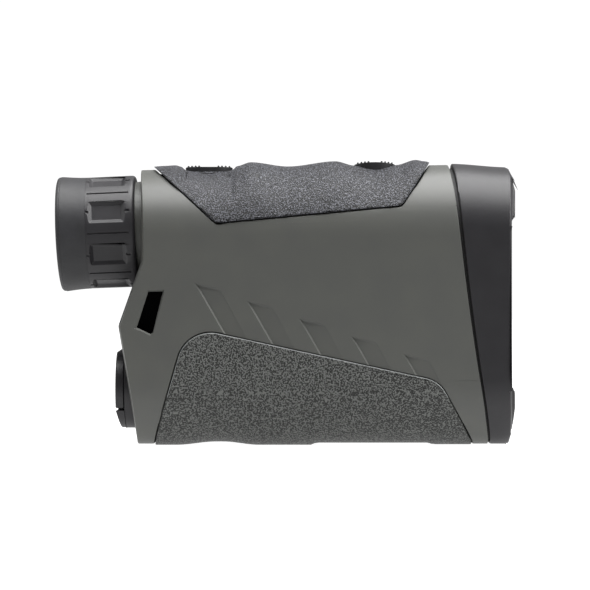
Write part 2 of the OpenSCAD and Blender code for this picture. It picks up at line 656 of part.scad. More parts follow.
// Front and back of the folded lever, its lower edge and its pin.
flange_x = -3.2;
lever_x = -5.5;
lever_foot = -4.9;
pin_at = [-4, -6.8];
module battery_cap() color([0.13, 0.13, 0.14]) on_cap() difference() {
    union() {
        disc(cap_r, flange_x, -0.1);
        intersection() {
            disc(cap_r - 0.1, lever_x, flange_x + 0.5);
            along_y([[lever_x, -5.8], [lever_x + 1.3, -11], [flange_x + 0.4, -11], [flange_x + 0.4, -5.5],
                [lever_x + 0.3, -5.5]], -12, 12);
        }
        disc(tube_r - 0.8, -0.2, 4.3);
    }
    disc(tube_r - 2.6, 1, 7);
    ring(tube_r, tube_r - 1.6, 2.2, 3.4);
    // slot for the lever's tongue
    translate([lever_x - 1, -4.3, -8.4]) cube([3.7, 8.6, 6]);
    translate([pin_at.x, 0, pin_at.y]) rotate([90, 0, 0]) cylinder(h = 15, r = 0.63, center = true);
}
module cap_seal() color([0.05, 0.05, 0.05]) on_cap() o_ring(tube_r - 1.15, 0.42, 2.8);
module lever_pin() color([0.7, 0.7, 0.72]) on_cap() translate([pin_at.x, 0, pin_at.y]) rotate([90, 0, 0])
    cylinder(h = 14, r = 0.6, center = true);
module cap_lever() color([0.11, 0.11, 0.12]) on_cap() difference() {
    union() {
        intersection() {
            disc(cap_r - 0.2, lever_x, flange_x - 0.1);
            along_y([[lever_x, lever_foot], [lever_x, 9.3], [flange_x - 0.1, 11],
                [flange_x - 0.1, lever_foot]], -12, 12);
        }
        translate([0, -4, 0]) {
            along_y([[lever_x + 0.4, pin_at.y], [lever_x + 0.4, -3], [flange_x - 0.1, -3],
                [flange_x - 0.1, pin_at.y]], 0, 8);
            translate([pin_at.x, 8, pin_at.y]) rotate([90, 0, 0]) cylinder(h = 8, r = 0.9);
        }
    }
    translate([pin_at.x, 0, pin_at.y]) rotate([90, 0, 0]) cylinder(h = 30, r = 0.65, center = true);
    // finger hollow
    translate([lever_x - 1, -4, 1.5]) cube([2.1, 8, 4.2]);
}

// ---- tripod socket ----

module tripod_socket() color([0.75, 0.62, 0.35]) translate([socket_x, 0, 0]) difference() {
    translate([0, 0, 0.6]) cylinder(h = 8.2, r = 4.7);
    cylinder(h = 7.6, r = 3.175);
}

module placed() translate([centre_shift, 0, 0]) children();
placed() left_shell();
placed() right_shell();
placed() shell_screws();
placed() top_armour();
placed() lower_grip();
placed() front_hood();
placed() hood_gasket();
placed() hood_screws();
placed() objective_bezel();
placed() objective_lens();
placed() objective_retainer();
placed() objective_tube();
placed() receiver_bezel();
placed() receiver_lens();
placed() receiver_retainer();
placed() receiver_tube();
placed() receiver_sensor();
placed() receiver_board();
placed() emitter_bezel();
placed() emitter_lens();
placed() emitter_tube();
placed() laser_diode();
placed() roof_prism();
placed() half_prism();
placed() prism_holder();
placed() prism_clip();
placed() display_panel();
placed() optical_chassis();
placed() eyepiece_housing();
placed() barrel_circlip();
placed() diopter_seal();
placed() diopter_ring();
placed() eyecup();
placed() lens_cell();
placed() eye_lens();
placed() field_lens();
placed() cell_retainer();
placed() cam_pins();
placed() main_board();
placed() board_chips();
placed() button_board();
placed() tact_switches();
placed() range_button();
placed() mode_button();
placed() battery_tube();
placed() battery();
placed() battery_contact();
placed() battery_spring();
placed() battery_cap();
placed() cap_seal();
placed() cap_lever();
placed() lever_pin();
placed() tripod_socket();
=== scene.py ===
"""Handheld laser rangefinder: the visible pieces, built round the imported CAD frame.

Lengths in the classes are millimetres in the part's own axes: +X towards the target, +Z up, the parting
plane of the housing at Y = 0.  Finished meshes are in metres, in the frame of the CAD.
"""

import json
import logging
import math
from contextlib import contextmanager
from dataclasses import dataclass, field
from enum import Enum
from itertools import pairwise
from typing import Callable, Iterator, Sequence

import bmesh
import bpy
from mathutils import Matrix, Vector


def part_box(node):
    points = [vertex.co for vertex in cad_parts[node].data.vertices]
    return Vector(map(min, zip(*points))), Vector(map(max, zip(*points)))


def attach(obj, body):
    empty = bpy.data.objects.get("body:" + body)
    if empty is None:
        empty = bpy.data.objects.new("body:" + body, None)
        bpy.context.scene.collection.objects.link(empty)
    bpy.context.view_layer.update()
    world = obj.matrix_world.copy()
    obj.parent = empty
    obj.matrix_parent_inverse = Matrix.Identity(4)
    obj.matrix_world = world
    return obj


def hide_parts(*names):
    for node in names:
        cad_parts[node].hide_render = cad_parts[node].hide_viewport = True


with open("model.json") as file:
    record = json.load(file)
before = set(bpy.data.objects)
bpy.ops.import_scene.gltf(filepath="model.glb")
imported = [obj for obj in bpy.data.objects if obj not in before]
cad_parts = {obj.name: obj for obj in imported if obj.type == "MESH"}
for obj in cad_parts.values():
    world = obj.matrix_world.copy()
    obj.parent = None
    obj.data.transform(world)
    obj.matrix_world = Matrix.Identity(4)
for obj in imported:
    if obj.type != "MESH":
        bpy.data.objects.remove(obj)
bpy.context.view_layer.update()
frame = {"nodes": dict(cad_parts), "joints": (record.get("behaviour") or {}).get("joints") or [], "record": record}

log = logging.getLogger("rangefinder")

MM = 0.001
Point = tuple[float, float]
Piece = bpy.types.Object


class Side(Enum):
    """The two halves of the housing, by the sign of their Y."""

    LEFT = -1
    RIGHT = 1


class Boolean(Enum):
    """How one solid acts on another."""

    CUT = "DIFFERENCE"
    KEEP = "INTERSECT"
    ADD = "UNION"


# ---------------------------------------------------------------- places read from the frame


def frame_joint(name: str) -> dict:
    """Finds a joint of the frame.

    Args:
        name: The joint's name.

    Returns:
        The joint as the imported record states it.
    """
    return next(j for j in frame["joints"] if j["name"] == name)


def node_box(name: str) -> tuple[Vector, Vector]:
    """The lowest and highest corner of a CAD node, in millimetres."""
    low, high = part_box(name)
    return low / MM, high / MM


# ---------------------------------------------------------------- modelling by operators


def focus(piece: Piece) -> None:
    """Makes one piece the only selected and the active one."""
    bpy.ops.object.select_all(action="DESELECT")
    piece.hide_set(False)
    piece.select_set(True)
    bpy.context.view_layer.objects.active = piece


@contextmanager
def editing(piece: Piece) -> Iterator[None]:
    """Opens a piece in edit mode and closes it again."""
    focus(piece)
    bpy.ops.object.mode_set(mode="EDIT")
    bpy.ops.mesh.select_mode(type="VERT")
    yield
    bpy.ops.object.mode_set(mode="OBJECT")


def choose(piece: Piece, test: Callable[[Vector], bool]) -> None:
    """Selects the vertices of an open piece by their place.

    Args:
        piece: A piece in edit mode.
        test: Says whether a vertex at this place, in millimetres, is wanted.
    """
    mesh = bmesh.from_edit_mesh(piece.data)
    for vertex in mesh.verts:
        vertex.select_set(test(vertex.co / MM))
    mesh.select_flush_mode()
    bmesh.update_edit_mesh(piece.data)


def drawn(name: str, points: Sequence[Vector], filled: bool = True) -> Piece:
    """Draws an outline by pulling one vertex from point to point.

    Args:
        name: The new piece's name.
        points: The corners in order, in millimetres.
        filled: Whether the outline becomes a face.

    Returns:
        The piece, out of edit mode.
    """
    bpy.ops.object.select_all(action="DESELECT")
    bpy.ops.mesh.primitive_plane_add(size=MM, location=points[0] * MM)
    piece = bpy.context.object
    piece.name = piece.data.name = name
    bpy.ops.object.transform_apply(location=True, rotation=False, scale=False)
    with editing(piece):
        bpy.ops.mesh.merge(type="CENTER")
        for here, there in pairwise(points):
            bpy.ops.mesh.extrude_region_move(TRANSFORM_OT_translate={"value": (there - here) * MM})
        if filled:
            bpy.ops.mesh.select_all(action="SELECT")
            bpy.ops.mesh.edge_face_add()
    return piece


def prism(name: str, points: Sequence[Vector], pull: Vector, steps: int = 1) -> Piece:
    """Draws an outline and pulls it into a solid.

    Args:
        name: The new piece's name.
        points: The outline's corners, in millimetres.
        pull: How far and which way the outline is pulled, in millimetres.
        steps: How many stretches the pull is made of.

    Returns:
        The solid.
    """
    piece = drawn(name, points)
    with editing(piece):
        bpy.ops.mesh.select_all(action="SELECT")
        for _ in range(steps):
            bpy.ops.mesh.extrude_region_move(TRANSFORM_OT_translate={"value": pull * MM / steps})
        bpy.ops.mesh.select_all(action="SELECT")
        bpy.ops.mesh.normals_make_consistent(inside=False)
    return piece


def side_prism(name: str, outline: Sequence[Point], low: float = -30, high: float = 30) -> Piece:
    """A solid with an outline of (x, z) corners, pulled along Y from low to high."""
    return prism(name, [Vector((x, low, z)) for x, z in outline], Vector((0, high - low, 0)))


def end_prism(name: str, outline: Sequence[Point], low: float, high: float, steps: int = 1) -> Piece:
    """A solid with an outline of (y, z) corners, pulled along X from low to high."""
    return prism(name, [Vector((low, y, z)) for y, z in outline], Vector((high - low, 0, 0)), steps)


def plan_prism(name: str, outline: Sequence[Point], low: float, high: float) -> Piece:
    """A solid with an outline of (x, y) corners, pulled along Z from low to high."""
    return prism(name, [Vector((x, y, low)) for x, y in outline], Vector((0, 0, high - low)))


def turned(name: str, profile: Sequence[Point], steps: int = 128) -> Piece:
    """Spins a closed profile of (x, radius) corners round the X axis.

    Args:
        name: The new piece's name.
        profile: The corners, in millimetres. A corner of radius 0 closes the solid on its axis.
        steps: How many stretches make the full turn.

    Returns:
        The turned solid.
    """
    on_axis = any(radius == 0 for _, radius in profile)
    loop = list(profile) if on_axis else [*profile, profile[0]]
    piece = drawn(name, [Vector((x, 0, radius)) for x, radius in loop], filled=False)
    with editing(piece):
        bpy.ops.mesh.select_all(action="SELECT")
        bpy.ops.mesh.spin(steps=steps, angle=2 * math.pi, center=(0, 0, 0), axis=(1, 0, 0))
        bpy.ops.mesh.select_all(action="SELECT")
        bpy.ops.mesh.remove_doubles(threshold=0.002 * MM)
        bpy.ops.mesh.normals_make_consistent(inside=False)
    return piece


def combine(piece: Piece, tool: Piece, how: Boolean) -> Piece:
    """Cuts, keeps or adds one solid with another, which is used up."""
    change = piece.modifiers.new(how.name, "BOOLEAN")
    change.operation = how.value
    change.solver = "EXACT"
    change.object = tool
    focus(piece)
    bpy.ops.object.modifier_apply(modifier=change.name)
    bpy.data.objects.remove(tool)
    return piece


def placed(piece: Piece, matrix: Matrix) -> Piece:
    """Moves a piece by a matrix in metres and applies it to the mesh."""
    piece.matrix_world = matrix @ piece.matrix_world
    focus(piece)
    bpy.ops.object.transform_apply(location=True, rotation=True, scale=True)
    return piece


def copied(piece: Piece, name: str) -> Piece:
    """A copy of a piece with a mesh of its own."""
    focus(piece)
    bpy.ops.object.duplicate(linked=False)
    twin = bpy.context.object
    twin.name = twin.data.name = name
    return twin


def mirrored(piece: Piece, name: str) -> Piece:
    """A copy of a piece on the other side of the plane Y = 0."""
    twin = placed(copied(piece, name), Matrix.Scale(-1, 4, (0, 1, 0)))
    with editing(twin):
        bpy.ops.mesh.select_all(action="SELECT")
        bpy.ops.mesh.normals_make_consistent(inside=False)
    return twin


def softened(piece: Piece, width: float, segments: int = 2, angle: float = 35,
             crisp: Callable[[Vector], bool] | None = None) -> Piece:
    """Rounds every edge sharper than an angle.

    Args:
        piece: The solid.
        width: The rounding's width in millimetres.
        segments: How many faces the rounding has.
        angle: The least angle between two faces that is rounded, in degrees.
        crisp: Says whether an edge with its middle here, in millimetres, stays as it is.

    Returns:
        The same piece.
    """
    with editing(piece):
        bpy.ops.mesh.select_all(action="SELECT")
        bpy.ops.mesh.remove_doubles(threshold=0.05 * MM)
        bpy.ops.mesh.select_all(action="SELECT")
        bpy.ops.mesh.dissolve_limited(angle_limit=math.radians(0.2))
        bpy.ops.mesh.select_mode(type="EDGE")
        bpy.ops.mesh.select_all(action="DESELECT")
        bpy.ops.mesh.edges_select_sharp(sharpness=math.radians(angle))
        mesh = bmesh.from_edit_mesh(piece.data)
        for edge in mesh.edges:
            if edge.select and crisp and crisp((edge.verts[0].co + edge.verts[1].co) / 2 / MM):
                edge.select_set(False)
        bmesh.update_edit_mesh(piece.data)
        bpy.ops.mesh.bevel(offset=width * MM, offset_type="OFFSET", segments=segments, affect="EDGES",
                           clamp_overlap=False, miter_outer="ARC")
    return piece


def smoothed(piece: Piece, angle: float = 32) -> Piece:
    """Shades a piece smooth up to an angle, with its large flat faces kept flat."""
    focus(piece)
    bpy.ops.object.shade_smooth_by_angle(angle=math.radians(angle))
    change = piece.modifiers.new("flats", "WEIGHTED_NORMAL")
    change.keep_sharp = True
    change.weight = 80
    bpy.ops.object.modifier_apply(modifier=change.name)
    return piece


def resize_ring(piece: Piece, x: float, pivot_z: float, scale: float, above: bool) -> None:
    """Stretches one ring of an open piece away from a level.

    Args:
        piece: A piece in edit mode.
        x: The ring's place along X, in millimetres.
        pivot_z: The level that stays.
        scale: The stretch along Z.
        above: Whether the part above the level is stretched, or the part below it.
    """
    choose(piece, lambda v: abs(v.x - x) < 0.01 and (v.z - pivot_z) * (1 if above else -1) > 0.001)
    bpy.ops.transform.resize(value=(1, 1, scale), center_override=(x * MM, 0, pivot_z * MM))


# ---------------------------------------------------------------- outlines


def arc(centre: Point, radii: Point, start: float, end: float, steps: int) -> list[Point]:
    """Points on an elliptical arc, with its angles in degrees."""
    turns = [math.radians(start + (end - start) * i / steps) for i in range(steps + 1)]
    return [(centre[0] + radii[0] * math.cos(t), centre[1] + radii[1] * math.sin(t)) for t in turns]


def rounded(points: Sequence[tuple[float, float, float]], steps: int = 6) -> list[Point]:
    """Rounds the corners of an outline.

    Args:
        points: The corners as (x, y, radius).
        steps: How many stretches make each rounding.

    Returns:
        The outline's points, with an arc at each corner that has a radius.
    """
    made: list[Point] = []
    count = len(points)
    for i, (x, y, radius) in enumerate(points):
        here = Vector((x, y))
        if radius <= 0:
            made.append((x, y))
            continue
        back = (Vector(points[i - 1][:2]) - here).normalized()
        on = (Vector(points[(i + 1) % count][:2]) - here).normalized()
        half = back.angle(on) / 2
        start, end = here + back * radius / math.tan(half), here + on * radius / math.tan(half)
        middle = here + (back + on).normalized() * radius / math.sin(half)
        a, b = start - middle, end - middle
        sweep = a.angle_signed(b)
        for k in range(steps + 1):
            turn = -sweep * k / steps
            made.append((middle.x + a.x * math.cos(turn) - a.y * math.sin(turn),
                         middle.y + a.x * math.sin(turn) + a.y * math.cos(turn)))
    return made


def grown(points: Sequence[Point], distance: float) -> list[Point]:
    """A counter-clockwise outline moved outwards by a distance, with mitred corners."""
    made: list[Point] = []
    for i, here in enumerate(points):
        u = (Vector(here) - Vector(points[i - 1])).normalized()
        v = (Vector(points[(i + 1) % len(points)]) - Vector(here)).normalized()
        m, n = Vector((u.y, -u.x)), Vector((v.y, -v.x))
        place = Vector(here) + (m + n) * distance / (1 + m.dot(n))
        made.append((place.x, place.y))
    return made


def smooth_step(t: float) -> float:
    """Rises smoothly from 0 to 1 as t goes from 0 to 1."""
    t = min(1.0, max(0.0, t))
    return t * t * (3 - 2 * t)


def height_along(points: Sequence[Point], x: float) -> float:
    """The height of a profile at x, eased between its points."""
    for (x0, z0), (x1, z1) in pairwise(points):
        if x <= x1:
            return z0 + (z1 - z0) * smooth_step((x - x0) / (x1 - x0))
    return points[-1][1]


# ---------------------------------------------------------------- finishes


def linear(colour: str, alpha: float = 1) -> tuple[float, float, float, float]:
    """Turns an sRGB hex colour into linear numbers.

    Args:
        colour: Six hex digits after a hash.
        alpha: The fourth number.

    Returns:
        Red, green, blue and alpha.
    """
    parts = [int(colour[i:i + 2], 16) / 255 for i in (1, 3, 5)]
    red, green, blue = [c / 12.92 if c <= 0.04045 else ((c + 0.055) / 1.055) ** 2.4 for c in parts]
    return red, green, blue, alpha


class Graph:
    """The node tree of one finish."""

    def __init__(self, name: str) -> None:
        """Starts a material of this name with an empty tree."""
        self.material = bpy.data.materials.new(name)
        self.material.use_nodes = True
        self.tree = self.material.node_tree
        self.tree.nodes.clear()

    def add(self, kind: str, sockets: dict | None = None, **settings: object) -> bpy.types.Node:
        """Adds a node with its settings and links.

        Args:
            kind: The node's type name without its ShaderNode prefix.
            sockets: Input name or number to a value, or to an output socket that is linked to it.
            settings: The node's own properties.

        Returns:
            The node.
        """
        node = self.tree.nodes.new("ShaderNode" + kind)
        for key, value in settings.items():
            setattr(node, key, value)
        for key, value in (sockets or {}).items():
            if isinstance(value, bpy.types.NodeSocket):
                self.tree.links.new(value, node.inputs[key])
            else:
                node.inputs[key].default_value = value
        return node


@dataclass(frozen=True)
class Finish:
    """A moulded, turned or printed surface: two close colours, a gloss and a fine relief."""

    name: str
    colour: str
    second: str
    roughness: float
    grain_mm: float = 0.3
    relief_mm: float = 0.01
    specular: float = 0.5
    metallic: float = 0.0
    coat: float = 0.0
    mottle_mm: float = 9.0
    gloss_change: float = 0.08

    def make(self) -> bpy.types.Material:
        """Builds the material.

        Returns:
            The material, ready for a piece's slot.
        """
        graph = Graph(self.name)
        place = graph.add("TexCoord").outputs["Object"]
        mottle = graph.add("TexNoise", {"Vector": place, "Scale": 1 / (self.mottle_mm * MM), "Detail": 4.0})
        grain = graph.add("TexNoise", {"Vector": place, "Scale": 1 / (self.grain_mm * MM), "Detail": 2.0})
        tint = graph.add("ValToRGB", {"Fac": mottle.outputs["Fac"]})
        tint.color_ramp.elements[0].position = 0.35
        tint.color_ramp.elements[1].position = 0.65
        tint.color_ramp.elements[0].color = linear(self.colour)
        tint.color_ramp.elements[1].color = linear(self.second)
        gloss = graph.add("MapRange", {"Value": grain.outputs["Fac"], "From Min": 0.3, "From Max": 0.7,
                                       "To Min": self.roughness - self.gloss_change,
                                       "To Max": self.roughness + self.gloss_change})
        relief = graph.add("Bump", {"Height": grain.outputs["Fac"], "Strength": 1.0,
                                    "Distance": self.relief_mm * MM})
        shader = graph.add("BsdfPrincipled", {
            "Base Color": tint.outputs["Color"], "Roughness": gloss.outputs["Result"],
            "Normal": relief.outputs["Normal"], "Metallic": self.metallic,
            "Specular IOR Level": self.specular, "Coat Weight": self.coat})
        graph.add("OutputMaterial", {"Surface": shader.outputs["BSDF"]})
        return graph.material


@dataclass(frozen=True)
class PebbledRubber:
    """Moulded thermoplastic rubber with an etched grain of short crooked ridges; the ridges carry a painted highlight
    and the valleys painted shade.
    """

    name: str
    shaded_valley: str
    lit_ridge: str
    grain_mm: float
    relief_mm: float
    roughness: float
    specular: float = 0.5

    def make(self) -> bpy.types.Material:
        """Builds the material.

        Returns:
            The material, ready for a piece's slot.
        """
        graph = Graph(self.name)
        place = graph.add("TexCoord").outputs["Object"]
        worms = graph.add("TexNoise", {"Vector": place, "Scale": 1.3 / (self.grain_mm * MM), "Detail": 1.0,
                                       "Roughness": 0.45})
        crumbs = graph.add("TexNoise", {"Vector": place, "Scale": 3.0 / (self.grain_mm * MM), "Detail": 1.0})
        lit_ridge = graph.add("MapRange", {"Value": worms.outputs["Fac"], "From Min": 0.44, "From Max": 0.58},
                          interpolation_type="SMOOTHSTEP")
        height = graph.add("MixRGB", {"Fac": 0.25, "Color1": lit_ridge.outputs["Result"],
                                      "Color2": crumbs.outputs["Fac"]})
        # The colour follows the grain's height: painted shade in the valleys, painted highlight on the ridges.
        tint = graph.add("ValToRGB", {"Fac": height.outputs["Color"]})
        tint.color_ramp.elements[0].position = 0.15
        tint.color_ramp.elements[1].position = 0.85
        tint.color_ramp.elements[0].color = linear(self.shaded_valley)
        tint.color_ramp.elements[1].color = linear(self.lit_ridge)
        relief = graph.add("Bump", {"Height": height.outputs["Color"], "Strength": 1.0,
                                    "Distance": self.relief_mm * MM})
        shader = graph.add("BsdfPrincipled", {
            "Base Color": tint.outputs["Color"], "Roughness": self.roughness,
            "Normal": relief.outputs["Normal"], "Specular IOR Level": self.specular})
        graph.add("OutputMaterial", {"Surface": shader.outputs["BSDF"]})
        return graph.material


@dataclass(frozen=True)
class CoatedGlass:
    """Ground optical glass with a thin coloured anti-reflection coating."""

    name: str
    tint: str
    film: str

    def make(self) -> bpy.types.Material:
        """Builds the material.

        Returns:
            The material, ready for a piece's slot.
        """
        graph = Graph(self.name)
        place = graph.add("TexCoord").outputs["Object"]
        dust = graph.add("TexNoise", {"Vector": place, "Scale": 1 / (1.5 * MM), "Detail": 5.0})
        gloss = graph.add("MapRange", {"Value": dust.outputs["Fac"], "From Min": 0.45, "From Max": 0.9,
                                       "To Min": 0.01, "To Max": 0.08})
        rim = graph.add("LayerWeight", {"Blend": 0.35})
        body = graph.add("MixRGB", {"Fac": rim.outputs["Facing"], "Color1": linear(self.tint),
                                    "Color2": linear(self.film)})
        glass = graph.add("BsdfPrincipled", {
            "Base Color": body.outputs["Color"], "Roughness": gloss.outputs["Result"],
            "Transmission Weight": 0.85, "IOR": 1.52, "Coat Weight": 0.6, "Coat Roughness": 0.02,
            "Coat Tint": linear(self.film)})
        graph.add("OutputMaterial", {"Surface": glass.outputs["BSDF"]})
        return graph.material


@dataclass(frozen=True)
class LitSheet:
    """A translucent white sheet that is lit from behind."""

    name: str
    colour: str
    second: str
    glow: float
    grain_mm: float
    lamp_mm: Point = (22.0, 70.0)

    def make(self) -> bpy.types.Material:
        """Builds the material.

        Returns:
            The material, ready for a piece's slot.
        """
        graph = Graph(self.name)
        place = graph.add("TexCoord").outputs["Object"]
        grain = graph.add("TexNoise", {"Vector": place, "Scale": 1 / (self.grain_mm * MM), "Detail": 3.0})
        tint = graph.add("MixRGB", {"Fac": grain.outputs["Fac"], "Color1": linear(self.colour),
                                    "Color2": linear(self.second)})
        seen = graph.add("LightPath").outputs["Is Camera Ray"]
        parts = graph.add("SeparateXYZ", {0: place})
        across = graph.add("Math", {0: parts.outputs["Y"]}, operation="ABSOLUTE")
        lamp = graph.add("MapRange", {"Value": across.outputs["Value"], "From Min": self.lamp_mm[0] * MM,
                                      "From Max": self.lamp_mm[1] * MM, "To Min": self.glow, "To Max": 0.1},
                         interpolation_type="SMOOTHSTEP")
        glow = graph.add("MixRGB", {"Fac": seen, "Color1": lamp.outputs["Result"], "Color2": (1, 1, 1, 1)})
        shader = graph.add("BsdfPrincipled", {
            "Base Color": tint.outputs["Color"], "Roughness": 0.8, "Emission Color": (1, 1, 1, 1),
            "Emission Strength": glow.outputs["Color"]})
        graph.add("OutputMaterial", {"Surface": shader.outputs["BSDF"]})
        return graph.material


# Injection-moulded polyamide under a satin grey-green lacquer: even, with a very fine orange-peel grain.
SATIN_LACQUER = Finish("lacquered_polyamide", "#545552", "#575854", 0.4, grain_mm=0.28, relief_mm=0.006)
# Over-moulded thermoplastic rubber, near black, its grain etched in the mould; its ridges carry a painted highlight and
# its valleys painted shade.
ARMOUR_RUBBER = PebbledRubber("etched_black_rubber", "#08080a", "#5a5b62", 0.44, 0.38, 0.4)
# The same rubber in the housing's grey, with a coarser grain for grip; again painted highlight on the ridges and
# painted shade in the valleys.
GRIP_RUBBER = PebbledRubber("etched_grey_rubber", "#20211f", "#6a6c69", 0.5, 0.38, 0.42)
# Moulded glass-filled polyamide, black and satin, with a faint grain.
HOOD_POLYAMIDE = Finish("satin_black_polyamide", "#201f22", "#252427", 0.42, grain_mm=0.22, relief_mm=0.008)
# Moulded black polyamide for the parts that fingers turn.
RING_POLYAMIDE = Finish("ring_black_polyamide", "#252427", "#2c2b2e", 0.4, grain_mm=0.25, relief_mm=0.008)
# Soft black silicone-like rubber: dull, with a dusty bloom.
SOFT_RUBBER = Finish("soft_moulded_rubber", "#262628", "#303033", 0.5, grain_mm=0.2, relief_mm=0.008)
# The grip's rim: the same rubber from a polished part of the mould, so without the grain, and painted lighter: a
# painted highlight where the rounded edge faces the light above.
GRIP_RIM_HIGHLIGHT = Finish("smooth_rim_painted_highlight", "#7b7e7e", "#838686", 0.42, grain_mm=0.2, relief_mm=0.004)
# Firmer black rubber for the keys and nitrile for the seals.
BUTTON_RUBBER = Finish("button_rubber", "#1b1b1d", "#232326", 0.5, grain_mm=0.2, relief_mm=0.006)
SEAL_RUBBER = Finish("nitrile_rubber", "#0b0b0b", "#131313", 0.6, grain_mm=0.3, relief_mm=0.01)
# Turned aluminium under a black anodised layer: crisp, slightly metallic.
ANODISED = Finish("black_anodised_aluminium", "#141416", "#1b1b1e", 0.32, metallic=0.6, grain_mm=0.12,
                  relief_mm=0.004)
BLACK_OXIDE = Finish("black_oxide_steel", "#2b2b2d", "#38383a", 0.38, metallic=1.0, grain_mm=0.15)
STAINLESS = Finish("ground_stainless_steel", "#b9babd", "#a5a7aa", 0.3, metallic=1.0, grain_mm=0.1)
BRASS = Finish("turned_brass", "#c9a65c", "#b38f45", 0.28, metallic=1.0, grain_mm=0.12)
GILT = Finish("gold_flashed_brass", "#d8b15a", "#c79d45", 0.22, metallic=1.0, grain_mm=0.1)
# Matt black moulding for the black polymer parts; also painted into the lanyard slot's inside as its shade.
MATT_BLACK_AND_SLOT_SHADE = Finish("matt_black_and_slot_shade", "#040405", "#080809", 0.8, grain_mm=0.4, specular=0.05)
BOARD = Finish("green_solder_mask", "#0f3d22", "#14492a", 0.35, grain_mm=0.5, coat=0.3, mottle_mm=2.5)
CHIP = Finish("black_epoxy", "#131314", "#1c1c1e", 0.55, grain_mm=0.15)
CELL = Finish("shrink_sleeve", "#27335a", "#2c3a66", 0.25, grain_mm=0.8, coat=0.4)
SCREEN = Finish("display_glass", "#0b0e16", "#10141f", 0.12, grain_mm=0.6, coat=0.6)
LENS = CoatedGlass("coated_crown_glass", "#dfeaf2", "#7f6fb5")
PRISM = CoatedGlass("ground_prism_glass", "#e8f0f2", "#b9c8cf")
# A back-lit white sheet: nearly evenly bright, with a trace of paper grain.
FLOOR_CARD = LitSheet("back_lit_sheet", "#8c8c8c", "#909090", 0.75, 4.0)


# ---------------------------------------------------------------- finishing a piece


def hand_over(piece: Piece, body: str, slot: str, finish: object, *nodes: str) -> Piece:
    """Gives a finished piece its material, its body and the CAD nodes it stands for.

    Args:
        piece: The piece, in the part's own axes.
        body: The body that it moves with.
        slot: The record's material slot; not used.
        finish: The finish whose make() builds the material.
        nodes: The CAD nodes that it replaces.

    Returns:
        The same piece.
    """
    piece.data.materials.clear()
    piece.data.materials.append(material_of(finish))
    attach(piece, body)
    if nodes:
        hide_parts(*nodes)
    log.info("%s: %d faces on %s", piece.name, len(piece.data.polygons), body)
    return piece


_made: dict[str, bpy.types.Material] = {}


def material_of(finish: object) -> bpy.types.Material:
    """Builds a finish's material once and gives it back each time."""
    if finish.name not in _made:
        _made[finish.name] = finish.make()
    return _made[finish.name]


# ---------------------------------------------------------------- the body's envelope


@dataclass
class Envelope:
    """The outer form that the housing, the armour, the grip and the hood share."""

    half_width: float = 19.0
    crown_z: float = 72.4
    belly_z: float = 0.3
    side_z: float = 53.4
    foot: Point = (14.0, 16.8)
    bow_r: float = 120.0
    rear_x: float = -36.9
    knee_z: float = 47.0
    heel: Point = (-42.7, 30.7)
    tail_x: float = -37.5
    front_x: float = 58.8
    seam_top_x: float = 42.5
    seam_low_x: float = 52.6
    seam_bow: float = 0.85
    seam_gap: float = 0.5
    crown_drop: float = 1.35
    shift: float = field(init=False)

    def __post_init__(self) -> None:
        """Takes the place along X from the frame: the housing's heel is its rearmost point."""
        self.shift = node_box("left_shell")[0].x - self.heel[0]

    def section(self, inset: float = 0, top: float | None = None, bottom: float | None = None) -> list[Point]:
        """The upright cross-section as (y, z) points.

        Args:
            inset: How far inside the housing's surface it lies.
            top: The crown's height, where it isn't the housing's.
            bottom: The underside's height, where it isn't the housing's.

        Returns:
            The outline: a round crown, flat sides and rounded lower edges.
        """
        half = self.half_width - inset
        top = self.crown_z - inset if top is None else top
        bottom = self.belly_z + inset if bottom is None else bottom
        foot = (self.foot[0] - inset, self.foot[1] - inset)
        flat = half - foot[0]
        return [*arc((0, top - half), (half, half), 0, 180, 90),
                *arc((-flat, bottom + foot[1]), foot, 180, 270, 36),
                *arc((flat, bottom + foot[1]), foot, 270, 360, 36)]

    def seam(self, offset: float, widening: float = 0) -> list[Point]:
        """The front seam as (x, z) points from below the belly to above the crown.

        Args:
            offset: How far in front of the housing's edge it lies.
            widening: How much further it lies at the crown.

        Returns:
            The line's points.
        """
        made = []
        for i in range(25):
            z = -4 + 82 * i / 24
            share = z / self.crown_z
            line = self.seam_low_x + (self.seam_top_x - self.seam_low_x) * share
            bow = self.seam_bow * math.sin(math.pi * min(1, max(0, share)) ** 0.85)
            made.append((line - bow + offset + widening * share, z))
        return made

    def bar(self, name: str, low: float, high: float, inset: float = 0, top: float | None = None,
            bottom: float | None = None, steps: int = 1) -> Piece:
        """A straight bar of the cross-section from low to high along X."""
        return end_prism(name, self.section(inset, top, bottom), low, high, steps)

    def bowed(self, name: str, outline: Sequence[Point], x: float, forward: bool) -> Piece:
        """A solid whose end is bowed in plan view.

        Args:
            name: The new piece's name.
            outline: Its (x, z) corners on the plane Y = 0.
            x: Where its face crosses that plane.
            forward: Whether the bowed end faces the target.

        Returns:
            The solid, swept about an upright axis behind the face.
        """
        pivot = Vector((x + (-self.bow_r if forward else self.bow_r), 0, 0))
        spread = math.radians(13)
        turn = Matrix.Rotation(spread, 3, "Z")
        points = [turn @ (Vector((px, 0, pz)) - pivot) + pivot for px, pz in outline]
        piece = drawn(name, points)
        with editing(piece):
            bpy.ops.mesh.select_all(action="SELECT")
            bpy.ops.mesh.spin(steps=26, angle=2 * spread, center=pivot * MM, axis=(0, 0, 1))
            bpy.ops.mesh.select_all(action="SELECT")
            bpy.ops.mesh.normals_make_consistent(inside=False)
        return piece

    def to_frame(self, piece: Piece) -> Piece:
        """Moves a piece from the part's own axes to the CAD's frame."""
        return placed(piece, Matrix.Translation((self.shift * MM, 0, 0)))


